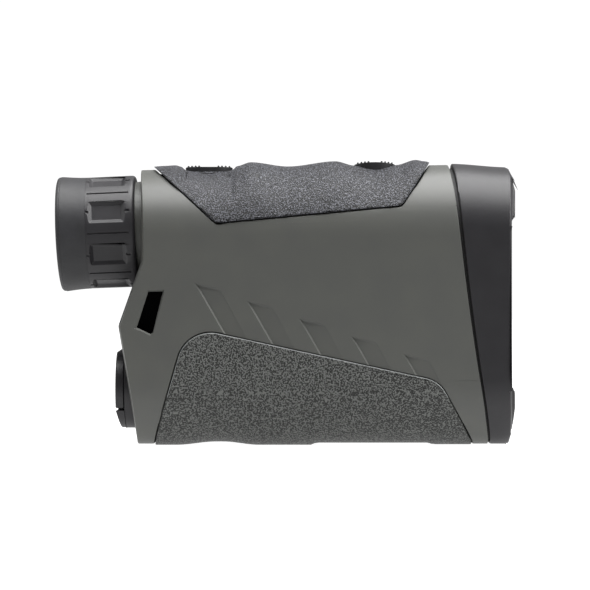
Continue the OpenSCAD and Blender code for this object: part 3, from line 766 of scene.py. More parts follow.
@dataclass
class Eyepiece:
    """The tilted eyepiece: diopter ring and soft eyecup, turned about the line of sight."""

    envelope: Envelope
    ring_r: float = 14.4
    ring_rear: float = -2.6
    ring_front: float = 10.0
    bore_r: float = 12.0
    collar_r: float = 12.95
    cup_end: float = -10.2
    cup_r: float = 14.4
    pockets: int = 8
    pocket_start: float = 25.0
    pocket_depth: float = 0.85
    spread: Point = (26.7, 16.8)
    pocket_x: Point = (-1.95, 7.7)
    floor_x: Point = (-0.9, 6.6)

    def axis_frame(self) -> Matrix:
        """The matrix, in metres, from a piece turned about X to the tilted line of sight."""
        joint = frame_joint("diopter_turn")
        forward = Vector(joint["axis"]).normalized()
        side = Vector((0, 1, 0))
        up = forward.cross(side)
        turn = Matrix((forward, side, up)).transposed().to_4x4()
        return Matrix.Translation(joint["pos_m"]) @ turn

    def build(self) -> None:
        """Makes the ring and the cup and hands them over."""
        self.ring()
        self.cup()

    def around(self, tool: Callable[[], Piece], start: float, piece: Piece) -> Piece:
        """Cuts a piece with a tool, repeated round the axis.

        Args:
            tool: Makes the cutter for the place at +Z.
            start: The first place's angle in degrees.
            piece: The piece that is cut.

        Returns:
            The cut piece.
        """
        cutters = []
        first = tool()
        for i in range(self.pockets):
            twin = copied(first, f"cutter_{i}")
            angle = math.radians(start + 360 * i / self.pockets)
            cutters.append(placed(twin, Matrix.Rotation(angle, 4, "X")))
        bpy.data.objects.remove(first)
        bpy.ops.object.select_all(action="DESELECT")
        for cutter in cutters:
            cutter.select_set(True)
        bpy.context.view_layer.objects.active = cutters[0]
        bpy.ops.object.join()
        return combine(piece, cutters[0], Boolean.CUT)

    def pocket(self) -> Piece:
        """A flared block that presses one finger pocket."""
        floor_r = self.ring_r - self.pocket_depth
        top_r = self.ring_r + 0.5
        slope = 0.5 / self.pocket_depth
        wide, narrow = [r * math.sin(math.radians(a / 2)) for r, a in zip((self.ring_r, floor_r), self.spread)]
        wide += (wide - narrow) * slope
        rear = self.pocket_x[0] - (self.floor_x[0] - self.pocket_x[0]) * slope
        front = self.pocket_x[1] + (self.pocket_x[1] - self.floor_x[1]) * slope
        low = [(self.floor_x[0], -narrow), (self.floor_x[1], -narrow), (self.floor_x[1], narrow),
               (self.floor_x[0], narrow)]
        piece = plan_prism("pocket", low, floor_r, top_r)
        with editing(piece):
            choose(piece, lambda v: v.z > floor_r + 0.1)
            grow = ((front - rear) / (self.floor_x[1] - self.floor_x[0]), wide / narrow, 1)
            middle = Vector((sum(self.floor_x) / 2, 0, top_r)) * MM
            bpy.ops.transform.resize(value=grow, center_override=middle)
            bpy.ops.transform.translate(value=((front + rear - sum(self.floor_x)) / 2 * MM, 0, 0))
        return piece

    def groove(self) -> Piece:
        """A fine straight groove between two pockets."""
        return plan_prism("groove", [(-2.2, -0.16), (8.5, -0.16), (8.5, 0.16), (-2.2, 0.16)],
                          self.ring_r - 0.35, self.ring_r + 1)

    def ticks(self) -> Piece:
        """The short notches at both ends of a pocket."""
        rear = plan_prism("tick", [(-2.45, -0.3), (-1.7, -0.3), (-1.7, 0.3), (-2.45, 0.3)],
                          self.ring_r - 0.3, self.ring_r + 1)
        front = plan_prism("tick", [(7.5, -0.3), (8.7, -0.3), (8.7, 0.3), (7.5, 0.3)],
                           self.ring_r - 0.3, self.ring_r + 1)
        return combine(rear, front, Boolean.ADD)

    def ring(self) -> None:
        """The diopter ring with its pockets and grooves."""
        outer = self.ring_r
        profile = [(self.ring_rear + 0.02, self.bore_r + 1.1), (self.ring_rear + 0.02, outer),
                   (8.6, outer + 0.06),
                   *arc((self.ring_front - 0.9, outer - 0.85), (0.9, 0.9), 90, 0, 6),
                   (self.ring_front, self.collar_r), (8.8, self.collar_r), (8.8, self.bore_r),
                   (-5.5, self.bore_r), (-5.5, self.bore_r + 0.95), (self.ring_rear + 0.02, self.bore_r + 0.95)]
        piece = turned("diopter_ring_grip", profile[:-1], 192)
        first = self.pocket_start
        for tool, start in ((self.pocket, first), (self.ticks, first), (self.groove, first + 22.5)):
            piece = self.around(tool, start, piece)
        softened(piece, 0.14, 2, 28, lambda v: v.x < self.ring_rear + 0.1)
        placed(smoothed(piece), self.axis_frame())
        hand_over(piece, "focus_ring", "ring_polymer", RING_POLYAMIDE, "diopter_ring")

    def cup(self) -> None:
        """The soft cup, with a faint crease behind its rounded lip."""
        end, r = self.cup_end, self.cup_r
        profile = [(self.ring_rear - 0.03, 13.1), (self.ring_rear - 0.01, r),
                   (-4.5, r + 0.06), (-6.5, r + 0.2), (-8.4, r + 0.4), (-9.1, r + 0.45), (-9.22, r + 0.33),
                   (-9.34, r + 0.38), *arc((end + 0.7, r - 0.4), (0.7, 0.75), 90, 180, 8),
                   (end + 0.02, 12.9), *arc((end + 0.5, 12.65), (0.48, 0.48), 180, 270, 5),
                   (-8.6, 11.95), (-7.9, 11.95), (-7.6, 12.2), (-6.52, 12.2), (-6.52, 13.1)]
        piece = placed(smoothed(turned("eyecup_rubber", profile, 160), 40), self.axis_frame())
        hand_over(piece, "focus_ring", "soft_rubber", SOFT_RUBBER, "eyecup")


@dataclass
class Trim:
    """The two rubber mouldings: top armour and lower grip, and the beds they lie in."""

    envelope: Envelope
    armour_proud: float = 0.4
    armour_bed: float = 1.5
    grip_proud: float = 0.3
    grip_bed: float = 1.3
    gap: float = 0.28
    armour_r: float = 2.2
    edge: float = 0.45
    mode: tuple[float, float, float] = (-19.4, 12.2, 9.0)
    range: tuple[float, float, float] = (23.6, 10.6, 9.6)
    crest: tuple[Point, ...] = (
        (-34.5, 71.9), (-31.1, 72.15), (-28.0, 72.3), (-26.5, 71.9), (-25.6, 71.1), (-19.4, 70.65),
        (-13.2, 71.1), (-12.2, 72.1), (-8.6, 73.1), (1.05, 72.0), (13.4, 73.35), (18.3, 72.25),
        (23.6, 71.6), (29.2, 72.4), (34.2, 73.7), (36.6, 73.35), (38.5, 72.9))
    sole: tuple[Point, ...] = (
        (-34, 0.0), (-27.5, 0.0), (-17.5, 0.85), (-15.5, 0.85), (-6.5, 0.0), (7.0, 0.0), (8.5, 0.55),
        (37.0, 0.55), (38.5, 0.15), (49, 0.15))

    def armour_outline(self, up: bool) -> list[Point]:
        """The armour's side outline, counter-clockwise from its rear end.

        Args:
            up: Whether it runs on above the crown, as its bed does.

        Returns:
            The outline as (x, z) points.
        """
        r = self.armour_r
        corners = [(-33.7, 71.85, 0), (-17.1, 56.75, r), (29.95, 61.2, r), (37.75, 73.0, 0)]
        made = rounded(corners)
        return [*made, (43.5, 81.6), (-44.3, 81.5)] if up else [*made, (37.5, 74.5), (-33.7, 74.5)]

    def grip_outline(self) -> list[Point]:
        """The grip's side outline, counter-clockwise from its rear lower end."""
        corners = [(-33.55, -1.5, 0), (48.6, -1.5, 0), (48.1, 1.0, 2), (39.2, 16.9, 7.5), (-24.3, 30.55, 8.5)]
        return rounded(corners, 10)

    def ringed(self, name: str, low: float, high: float, steps: int, section: list[Point],
               level: float, above: bool, height: Callable[[float], float], nominal: float) -> Piece:
        """A bar whose rings are stretched one by one to follow a height along X."""
        piece = end_prism(name, section, low, high, steps)
        with editing(piece):
            for i in range(steps + 1):
                x = low + (high - low) * i / steps
                resize_ring(piece, x, level, (height(x) - level) / (nominal - level), above)
        return piece

    def well(self, button: tuple[float, float, float], slack: float, low: float, high: float) -> Piece:
        """An upright pill-shaped block at a button, wider than it by some slack all round."""
        x, length, width = button
        half, r = length / 2 + slack, width / 2 + slack
        outline = [*[(x + half - r + px, py) for px, py in arc((0, 0), (r, r), -90, 90, 20)],
                   *[(x - half + r + px, py) for px, py in arc((0, 0), (r, r), 90, 270, 20)]]
        return plan_prism("well", outline, low, high)

    def armour(self) -> None:
        """The top armour, waved for the fingers, with its wells for the buttons."""
        env = self.envelope
        proud = env.half_width + self.armour_proud
        nominal = env.side_z + proud
        low = nominal - proud
        section = [*arc((0, low), (proud, proud), 0, 180, 90), (-proud, 50), (proud, 50)]
        piece = self.ringed("armour_rubber", -35, 39, 148, section, low, True,
                            lambda x: height_along(self.crest, x), nominal)
        combine(piece, side_prism("outline", self.armour_outline(False)), Boolean.KEEP)
        inner = env.bar("inner", -40, 45, self.armour_bed, top=70.0)
        combine(piece, inner, Boolean.CUT)
        for button in (self.mode, self.range):
            combine(piece, self.well(button, 0.25, 60, 80), Boolean.CUT)
            flange = (button[0], 14.2, 11.0)
            combine(piece, self.well(flange, 0, 60, 70.02), Boolean.CUT)
        softened(piece, self.edge, 3, 38, lambda v: not -32.4 < v.x < 36.4 and v.z > 70.5)
        env.to_frame(smoothed(piece, 40))
        hand_over(piece, "housing", "armour_rubber", ARMOUR_RUBBER, "top_armour")

    def grip(self) -> None:
        """The lower grip, which wraps under the body from side to side."""
        env = self.envelope
        section = Envelope.section(env, -self.grip_proud, top=70, bottom=0.0)
        level = 17.0
        piece = self.ringed("grip_rubber", -36, 50, 86, section, level, False,
                            lambda x: height_along(self.sole, x), 0.0)
        combine(piece, side_prism("outline", self.grip_outline()), Boolean.KEEP)
        combine(piece, env.bar("inner", -45, 60, self.grip_bed), Boolean.CUT)
        low, high = node_box("tripod_socket")
        middle = (low + high) / 2
        hole = plan_prism("hole", [(middle.x - env.shift + px, py) for px, py in arc((0, 0), (4.9, 4.9), 0, 354, 59)],
                          -2, 12)
        combine(piece, hole, Boolean.CUT)
        softened(piece, 0.35, 3, 38)
        env.to_frame(smoothed(piece, 40))
        hand_over(piece, "housing", "grip_rubber", GRIP_RUBBER, "lower_grip")
        self.smooth_highlit_rim(piece)

    def smooth_highlit_rim(self, piece: Piece) -> None:
        """Leaves the grip's rounded upper rim without the grain, as the mould does, and paints it lighter as a
        highlight where it faces the light.
        """
        piece.data.materials.append(material_of(GRIP_RIM_HIGHLIGHT))
        for polygon in piece.data.polygons:
            # The rim's sloping faces high on the grip, which catch the light from above, get the lighter colour: a
            # painted highlight.
            high = polygon.center.z / MM > 13 and abs(polygon.center.y) / MM > 17
            polygon.material_index = 1 if high and abs(polygon.normal.y) < 0.93 else 0

    def beds(self, piece: Piece) -> Piece:
        """Cuts the beds of both mouldings into a shell."""
        env = self.envelope
        armour = side_prism("bed", grown(self.armour_outline(True), self.gap))
        combine(armour, env.bar("inner", -60, 70, 1.6, top=70.0, bottom=-8), Boolean.CUT)
        combine(piece, armour, Boolean.CUT)
        grip = side_prism("bed", grown(self.grip_outline(), self.gap))
        combine(grip, env.bar("inner", -60, 70, 1.4), Boolean.CUT)
        return combine(piece, grip, Boolean.CUT)

    def build(self) -> None:
        """Makes both mouldings."""
        self.armour()
        self.grip()


# ---------------------------------------------------------------- the housing


@dataclass
class Housing:
    """The two lacquered shell halves, with everything pressed or cut into them."""

    envelope: Envelope
    trim: Trim
    wall: float = 3.0
    cavity_r: float = 16.0
    cavity_top: float = 68.8
    bay: tuple[Point, ...] = ((-33.5, 3.6), (49.0, 3.6), (41.0, 68.8), (-33.5, 68.8))
    chevron: Point = (-22.4, 41.6)
    chevron_step: Point = (13.14, -4.46)
    chevron_count: int = 5
    chevron_shape: tuple[Point, ...] = ((0, 0), (9.0, -15.6), (15.0, -17.0), (6.6, -1.7))
    chevron_draft: float = 0.38
    chevron_deep: float = 0.5
    chevron_shallow: float = 0.16
    slot: tuple[Point, ...] = ((-34.1, 39.4), (-37.0, 30.4), (-33.5, 28.8), (-32.9, 29.2), (-30.4, 39.5))
    cap_z: float = 14.5
    counterbore_r: float = 10.9
    seats: tuple[Point, ...] = ((-28.5, 37.0), (10.0, 36.0))

    def blank(self) -> Piece:
        """The outside of both halves in one: crown falling a little towards the rear."""
        env = self.envelope
        steps = 26
        piece = env.bar("housing_blank", -46, 56, steps=steps)
        with editing(piece):
            for i in range(steps + 1):
                x = -46 + 102 * i / steps
                drop = env.crown_drop * (env.seam_top_x - x) / (env.seam_top_x + 37)
                level = env.side_z - 1
                resize_ring(piece, x, level, (env.crown_z - drop - level) / (env.crown_z - level), True)
        rear = rounded([(env.tail_x, -3, 0), (-18, -3, 0), (-18, 78, 0), (-36.3, 78, 0), (-36.3, 71.6, 0.3),
                        (env.rear_x, 70.9, 0.5), (env.rear_x, env.knee_z, 2.5), (env.heel[0], env.heel[1], 2.2),
                        (env.tail_x - 0.05, -0.2, 0)])
        room = env.bowed("rear", rear, env.rear_x, False)
        combine(room, side_prism("ahead", [(-24, -4), (60, -4), (60, 79), (-24, 79)]), Boolean.ADD)
        combine(piece, room, Boolean.KEEP)
        front = [(-60, -4), *env.seam(0), (-60, 78)]
        return combine(piece, side_prism("front", front), Boolean.KEEP)

    def is_crisp(self, place: Vector) -> bool:
        """Says whether an edge is left sharp: at the parting plane, in a wedge, in the lanyard slot or inside."""
        if abs(place.y) < 0.1 or abs(place.y) < 17.3 and -33 < place.x < 46 and 6 < place.z < 66:
            return True
        x0, z0 = self.chevron
        along = (place.x - x0) * 15.6 + (place.z - z0) * 9.0
        low, high = -0.5 * 18, 15.6 * 60 - 4.46 * 9 * 4 + 15.6 * 8
        row = (z0 - place.z) - 0.3394 * (place.x - x0)
        in_row = -0.4 < row < 20 and abs(place.y) > 17 and low < along < high and place.x > -23
        in_slot = -38.5 < place.x < -29.2 and 27.6 < place.z < 40.6 and abs(place.y) > 12
        return in_row or in_slot

    def chevrons(self) -> Piece:
        """The five wedges pressed into each side, with drafted walls: deep at the leaning left edge."""
        face = self.envelope.half_width
        lean = Vector((0.863, 0.505))
        tools = []
        for k in range(self.chevron_count):
            first = Vector(self.chevron) + k * Vector(self.chevron_step)
            mouth = [tuple(first + Vector(step)) for step in self.chevron_shape]
            floor = grown(mouth, -self.chevron_draft)
            piece = side_prism("chevron", mouth, 0, 1)
            with editing(piece):
                for corner, inner, outer in zip(mouth, floor, grown(mouth, self.chevron_draft)):
                    share = min(1.0, max(0.0, (Vector(corner) - first).dot(lean) / 4.81))
                    depth = self.chevron_deep + (self.chevron_shallow - self.chevron_deep) * share
                    for end, goal, y in ((0, inner, face - depth), (1, outer, face + depth)):
                        choose(piece, lambda v, c=corner, e=end: (abs(v.x - c[0]) < 0.05 and abs(v.z - c[1]) < 0.05
                                                                  and abs(v.y - e) < 0.01))
                        move = (goal[0] - corner[0], y - end, goal[1] - corner[1])
                        bpy.ops.transform.translate(value=Vector(move) * MM)
                bpy.ops.mesh.select_all(action="SELECT")
                bpy.ops.mesh.normals_make_consistent(inside=False)
            tools += [piece, mirrored(piece, "chevron")]
        bpy.ops.object.select_all(action="DESELECT")
        for tool in tools:
            tool.select_set(True)
        bpy.context.view_layer.objects.active = tools[0]
        bpy.ops.object.join()
        return tools[0]

    def lanyard(self, piece: Piece) -> None:
        """The lanyard loop's slot in each side, its bevelled mouth and the tunnel from the rear."""
        middle = (-33.4, 34.4)
        for side in Side:
            y = self.envelope.half_width
            block = side_prism("block", [(-35.5, 27.2), (-28.9, 27.2), (-28.9, 41.2), (-35.5, 41.2)], 12.8, 17.6)
            if side is Side.LEFT:
                twin = mirrored(block, "block")
                bpy.data.objects.remove(block)
                block = twin
            combine(piece, block, Boolean.ADD)
            blade = side_prism("slot", self.slot, 14.4, 24)
            mouth = side_prism("mouth", grown(self.slot, 0.0), y - 0.5, y + 0.4)
            with editing(mouth):
                choose(mouth, lambda v: v.y > y)
                bpy.ops.transform.resize(value=(1.3, 1, 1.13), center_override=Vector((middle[0], 0, middle[1])) * MM)
            tunnel = side_prism("tunnel", [(-50, 29.4), (-34, 29.4), (-32, 39.4), (-50, 39.4)], 14.4, 17)
            for tool in (blade, mouth, tunnel):
                if side is Side.LEFT:
                    twin = mirrored(tool, tool.name)
                    bpy.data.objects.remove(tool)
                    tool = twin
                combine(piece, tool, Boolean.CUT)

    def hollow(self, piece: Piece) -> None:
        """Opens the inside, so that the inner parts stand clear of the walls."""
        env = self.envelope
        cavity = side_prism("cavity", self.bay)
        combine(cavity, env.bar("inner", -60, 70, self.wall, top=self.cavity_top), Boolean.KEEP)
        combine(piece, cavity, Boolean.CUT)
        cap = turned("cap_bore", [(-60, 0), (-60, self.counterbore_r), (-34.6, self.counterbore_r), (-34.6, 9.45),
                                  (40, 9.45), (40, 0)], 96)
        combine(piece, placed(cap, Matrix.Translation((0, 0, self.cap_z * MM))), Boolean.CUT)

    def eyepiece_seat(self, piece: Piece) -> None:
        """The relief in which the diopter ring turns."""
        eye = Eyepiece(self.envelope)
        tool = turned("relief", [(-20, 0), (-20, 14.9), (10.6, 14.9), (10.6, 13.0), (20, 13.0), (20, 0)], 128)
        placed(tool, Matrix.Translation((-self.envelope.shift * MM, 0, 0)) @ eye.axis_frame())
        combine(piece, tool, Boolean.CUT)

    def openings(self, piece: Piece) -> None:
        """The button wells in the crown, the tripod bore and the screw seats."""
        env = self.envelope
        for button in (self.trim.mode, self.trim.range):
            combine(piece, self.trim.well(button, 0.25, 60, 80), Boolean.CUT)
        low, high = node_box("tripod_socket")
        middle = (low + high) / 2
        hole = plan_prism("hole", [(middle.x - env.shift + px, py) for px, py in arc((0, 0), (4.75, 4.75), 0, 354, 59)],
                          -2, 8)
        combine(piece, hole, Boolean.CUT)
        for x, z in self.seats:
            seat = prism("seat", [Vector((x + px, 17.2, z + pz)) for px, pz in arc((0, 0), (2.1, 2.1), 0, 350, 35)],
                         Vector((0, 8, 0)))
            combine(piece, seat, Boolean.CUT)

    def paint_slot_shade(self, half: Piece) -> None:
        """Paints the inside of the lanyard slot near black, as painted shade in the recess."""
        half.data.materials.append(material_of(MATT_BLACK_AND_SLOT_SHADE))
        shift = self.envelope.shift
        for polygon in half.data.polygons:
            place = polygon.center / MM
            x = place.x - shift
            # The slot's inner faces, away from the rear face, get the near-black material: painted shade inside the
            # hole.
            inside = -41 < x < -28.5 and 28.6 < place.z < 39.7 and 14 < abs(place.y) < 18.4
            outside = x < -35 and polygon.normal.x < -0.85
            polygon.material_index = 1 if inside and not outside else 0

    def build(self) -> None:
        """Makes the two halves."""
        piece = self.blank()
        self.trim.beds(piece)
        combine(piece, self.chevrons(), Boolean.CUT)
        self.eyepiece_seat(piece)
        self.hollow(piece)
        self.lanyard(piece)
        self.openings(piece)
        for side, node in ((Side.LEFT, "left_shell"), (Side.RIGHT, "right_shell")):
            half = copied(piece, f"{node}_moulding")
            box = end_prism("half", [(0.01 * side.value, -10), (40 * side.value, -10), (40 * side.value, 90),
                                     (0.01 * side.value, 90)], -80, 80)
            combine(half, box, Boolean.KEEP)
            softened(half, 0.28, 2, 30, self.is_crisp)
            self.envelope.to_frame(smoothed(half))
            hand_over(half, "housing", "shell_polymer", SATIN_LACQUER, node)
            self.paint_slot_shade(half)
        bpy.data.objects.remove(piece)


# ---------------------------------------------------------------- the front


@dataclass
class Hood:
    """The black front hood, bowed across, with the two lens bores and their brow lips."""

    envelope: Envelope
    profile: tuple[Point, ...] = (
        (57.4, -0.5), (57.4, 0.4), (58.0, 1.0), (58.5, 3.0), (58.8, 9.0), (58.8, 64.0), (58.6, 69.0),
        (58.1, 71.0), (57.2, 72.0))
    top_z: float = 72.7
    top_drop: float = 0.9
    lens_z: Point = (54.6, 18.6)
    lug_z: float = 36.6
    bore_r: float = 13.3
    brow_x: float = 59.3
    brow_r: Point = (13.75, 15.3)
    tilt: float = 2.4
    widening: float = 0.5

    def blank(self) -> Piece:
        """The outer form between the seam and the bowed face."""
        env = self.envelope
        steps = 22
        low, high = 36.0, 62.0
        piece = env.bar("front_hood_moulding", low, high, top=self.top_z, steps=steps)
        level = env.side_z - 1
        with editing(piece):
            for i in range(steps + 1):
                x = low + (high - low) * i / steps
                drop = self.top_drop * smooth_step((x - 43) / 15)
                resize_ring(piece, x, level, (self.top_z - drop - level) / (self.top_z - level), True)
        front = [(0, -3), (57.4, -3), *self.profile, (57.0, 78), (0, 78)]
        combine(piece, env.bowed("front", front, env.front_x, True), Boolean.KEEP)
        seam = [*env.seam(env.seam_gap - 0.05, self.widening), (80, 78), (80, -4)]
        return combine(piece, side_prism("seam", list(reversed(seam))), Boolean.KEEP)

    def on_front(self, z: float) -> Matrix:
        """The matrix from a piece turned about X to a lens's line of sight."""
        return Matrix.Translation((52 * MM, 0, z * MM)) @ Matrix.Rotation(math.radians(-self.tilt), 4, "Y")

    def brows(self, piece: Piece) -> None:
        """The lips over the objective and under the receiver."""
        env = self.envelope
        inner, outer = self.brow_r
        for z, above in ((self.lens_z[0] + 0.2, True), (self.lens_z[1] + 0.2, False)):
            ring = [(56, inner), (self.brow_x, inner), (self.brow_x, outer), (56, outer)]
            lip = placed(turned("lip", ring, 128), Matrix.Translation((0, 0, z * MM)))
            shape = ([(56, 57.0), (58.6, 57.2), (59.6, 58.6), (59.6, 65.2), (58.1, 71.2), (56, 71.7)] if above else
                     [(56, 1), (58.1, 1), (59.1, 5.6), (59.6, 9.8), (59.6, 14.0), (58.6, 15.6), (56, 15.6)])
            combine(lip, env.bowed("lip_side", shape, self.brow_x, True), Boolean.KEEP)
            combine(lip, env.bar("lip_room", 50, 65, 0.2, top=self.top_z - self.top_drop - 0.2), Boolean.KEEP)
            combine(piece, lip, Boolean.ADD)

    def bores(self, piece: Piece) -> None:
        """The cavity, both lens bores, the laser bore and the screw seats."""
        env = self.envelope
        cavity = env.bar("cavity", 30, 54.0, 3.0, top=68.8)
        combine(piece, cavity, Boolean.CUT)
        for z in self.lens_z:
            tool = turned("bore", [(-10, 0), (-10, self.bore_r), (20, self.bore_r), (20, 0)], 160)
            combine(piece, placed(tool, self.on_front(z)), Boolean.CUT)
        laser = turned("laser", [(30, 0), (30, 3.7), (70, 3.7), (70, 0)], 64)
        combine(piece, placed(laser, Matrix.Translation((0, 0, self.lug_z * MM))), Boolean.CUT)
        for y in (-10.5, 10.5):
            seat = turned("seat", [(56.3, 0), (56.3, 2.05), (70, 2.05), (70, 0)], 48)
            combine(piece, placed(seat, Matrix.Translation((0, y * MM, self.lug_z * MM))), Boolean.CUT)

    def gasket(self) -> None:
        """The black gasket that fills the seam, set back from the surface."""
        env = self.envelope
        piece = env.bar("seam_gasket", 30, 62, 1.0)
        combine(piece, env.bar("inner", 20, 70, 3.1, top=68.7), Boolean.CUT)
        front = env.seam(env.seam_gap - 0.08, self.widening)
        combine(piece, side_prism("strip", [*env.seam(0.03), *reversed(front)][::-1]), Boolean.KEEP)
        env.to_frame(smoothed(piece))
        hand_over(piece, "housing", "seal_rubber", SEAL_RUBBER, "hood_gasket")

    def bezels(self) -> None:
        """The retaining bezels of both lenses, trimmed to the hood's bow."""
        env = self.envelope
        for z, node in ((self.lens_z[0], "objective_bezel"), (self.lens_z[1], "receiver_bezel")):
            profile = [(2.9, 11.5), (2.9, 13.2), (7.0, 13.2), (7.0, 12.3), (4.1, 11.5)]
            piece = placed(turned(f"{node}_ring", profile, 160), self.on_front(z))
            room = [(50, -5), (58.62, -5), (58.62, 80), (50, 80)]
            combine(piece, env.bowed("room", room, 58.62, True), Boolean.KEEP)
            softened(piece, 0.12, 2, 35)
            env.to_frame(smoothed(piece))
            hand_over(piece, "housing", node_slot(node), ANODISED, node)

    def build(self) -> None:
        """Makes the hood, its gasket and its bezels."""
        self.gasket()
        self.bezels()
        env = self.envelope
        piece = self.blank()
        self.brows(piece)
        self.bores(piece)
        softened(piece, 0.4, 3, 32)
        env.to_frame(smoothed(piece))
        hand_over(piece, "housing", "hood_polymer", HOOD_POLYAMIDE, "front_hood")


# ---------------------------------------------------------------- the rear end


@dataclass
class BatteryDoor:
    """The screw cap at the rear and its folding lever."""

    envelope: Envelope
    seat_x: float = -37.6
    z: float = 14.5
    flange_r: float = 10.4
    lever_r: float = 10.2
    skirt_r: float = 8.6

    def cap(self) -> None:
        """The threaded cap, with a hinge block for the lever at its lower edge."""
        r = self.flange_r
        piece = turned("cap_turning", [(-3.2, 0), (-3.2, r), (-0.1, r), (-0.1, self.skirt_r), (4.3, self.skirt_r),
                                       (4.3, 7.0), (0.9, 7.0), (0.9, 0)], 128)
        hinge = side_prism("hinge", [(-5.5, -5.5), (-4.2, -11), (-2.8, -11), (-2.8, -5.5)])
        combine(hinge, turned("hinge_room", [(-7, 0), (-7, r - 0.1), (0, r - 0.1), (0, 0)], 96), Boolean.KEEP)
        combine(piece, hinge, Boolean.ADD)
        slot = plan_prism("tongue_slot", [(-6.5, -4.3), (-2.8, -4.3), (-2.8, 4.3), (-6.5, 4.3)], -8.4, -2.4)
        combine(piece, slot, Boolean.CUT)
        pin = prism("pin_hole", [Vector((-4 + px, -7, -6.8 + pz)) for px, pz in arc((0, 0), (0.62, 0.62), 0, 345, 23)],
                    Vector((0, 14, 0)))
        combine(piece, pin, Boolean.CUT)
        softened(piece, 0.22, 2, 35)
        self.seat(smoothed(piece))
        hand_over(piece, "screw_cap", "black_polymer", HOOD_POLYAMIDE, "battery_cap")

    def lever(self) -> None:
        """The folding lever: a round plate, cut off below, with a finger hollow."""
        r = self.lever_r
        piece = turned("lever_moulding", [(-5.5, 0), (-5.5, r), (-3.3, r), (-3.3, 0)], 128)
        shape = [(-5.5, -4.9), (-3.3, -4.9), (-3.3, 11), (-5.5, 9.3)]
        combine(piece, side_prism("lever_side", shape), Boolean.KEEP)
        hollow = prism("hollow", [Vector((-6.5, y, z)) for y, z in ((-4, 1.5), (4, 1.5), (4, 5.7), (-4, 5.7))],
                       Vector((2.1, 0, 0)))
        combine(piece, hollow, Boolean.CUT)
        low, high = node_box("cap_lever")
        foot = low.z - self.z
        tongue = plan_prism("tongue", [(-5.2, -4.1), (-3.3, -4.1), (-3.3, 4.1), (-5.2, 4.1)], foot + 0.6, -4.0)
        combine(piece, tongue, Boolean.ADD)
        softened(piece, 0.3, 3, 35)
        self.seat(smoothed(piece))
        hand_over(piece, "lever", "black_polymer", HOOD_POLYAMIDE, "cap_lever")

    def seat(self, piece: Piece) -> Piece:
        """Moves a piece from the cap's own place to the rear of the housing."""
        placed(piece, Matrix.Translation((self.seat_x * MM, 0, self.z * MM)))
        return self.envelope.to_frame(piece)

    def build(self) -> None:
        """Makes the cap and its lever."""
        self.cap()
        self.lever()


@dataclass
class Buttons:
    """The two moulded keys in the crown, with raised ribs for the fingertip."""

    envelope: Envelope
    trim: Trim
    mode_top: float = 71.7
    range_top: float = 72.9
    dome_r: float = 32.0
    mode_ribs: tuple[float, ...] = (2.5, 3.4, 4.35, 5.3)
    range_ribs: tuple[float, ...] = (1.7, 2.6, 3.5, 4.4)
    rib: Point = (0.42, 0.35)

    def key(self, name: str, button: tuple[float, float, float], top: float, ribs: tuple[float, ...],
            node: str, body: str, domed: bool) -> None:
        """One key: a pill with a flange below the crown and ribs on top."""
        low, high = node_box(node)
        x, length, width = button
        trim = self.trim
        piece = trim.well(button, 0, low.z + 0.8, top)
        flange = trim.well((x, min(length + 1.6, high.x - low.x), min(width + 1.6, high.y - low.y)), 0, low.z, low.z + 1)
        combine(piece, flange, Boolean.ADD)
        if domed:
            ball = prism("dome", [Vector((x + px, -20, top - self.dome_r + pz)) for px, pz in
                                  arc((0, 0), (self.dome_r, self.dome_r), 0, 357, 238)], Vector((0, 40, 0)))
            combine(piece, ball, Boolean.KEEP)
        for offset in (*ribs, *(-r for r in ribs)):
            crest = top + self.rib[1]
            if domed:
                crest -= self.dome_r - math.sqrt(self.dome_r ** 2 - offset ** 2)
            reach = math.sqrt(max(0.2, 1 - (max(0, abs(offset) - (length - width) / 2) / (width / 2)) ** 2))
            half = width / 2 * reach - 0.5
            if half > 0.8:
                bar = plan_prism("rib", [(x + offset - self.rib[0] / 2, -half), (x + offset + self.rib[0] / 2, -half),
                                         (x + offset + self.rib[0] / 2, half), (x + offset - self.rib[0] / 2, half)],
                                 top - 1.5, crest)
                combine(piece, bar, Boolean.ADD)
        piece.name = piece.data.name = f"{node}_key"
        softened(piece, 0.12, 2, 35)
        self.envelope.to_frame(smoothed(piece))
        hand_over(piece, body, "button_rubber", BUTTON_RUBBER, node)

    def build(self) -> None:
        """Makes both keys."""
        self.key("mode", self.trim.mode, self.mode_top, self.mode_ribs, "mode_button", "mode_key", False)
        self.key("range", self.trim.range, self.range_top, self.range_ribs, "range_button", "range_key", True)


# ---------------------------------------------------------------- the parts kept from the CAD


class CarriedOver:
    """The CAD's own nodes that stay visible: each gets the finish of its real material."""

    finishes = {
        "shell_polymer": SATIN_LACQUER, "armour_rubber": ARMOUR_RUBBER, "grip_rubber": GRIP_RUBBER,
        "hood_polymer": HOOD_POLYAMIDE, "ring_polymer": RING_POLYAMIDE, "soft_rubber": SOFT_RUBBER,
        "button_rubber": BUTTON_RUBBER, "seal_rubber": SEAL_RUBBER, "anodised": ANODISED, "lens_glass": LENS,
        "screw_steel": BLACK_OXIDE, "spring_steel": STAINLESS, "black_polymer": MATT_BLACK_AND_SLOT_SHADE, "board": BOARD,
        "chip_epoxy": CHIP, "gilt": GILT, "brass": BRASS, "cell_jacket": CELL, "display_glass": SCREEN}
    special = {"roof_prism": PRISM, "half_prism": PRISM}

    def build(self) -> None:
        """Dresses every node that no finished piece replaces."""
        for name, piece in frame["nodes"].items():
            slot = node_slot(name)
            finish = self.special.get(name, self.finishes[slot])
            piece.data.materials.clear()
            piece.data.materials.append(material_of(finish))
            log.info("%s keeps its form, in %s", name, finish.name)


def node_slot(name: str) -> str:
    """The record's material slot for a node."""
    return next(n["material_slot"] for n in frame["record"]["subparts"] if n["node"] == name)


# ---------------------------------------------------------------- the picture


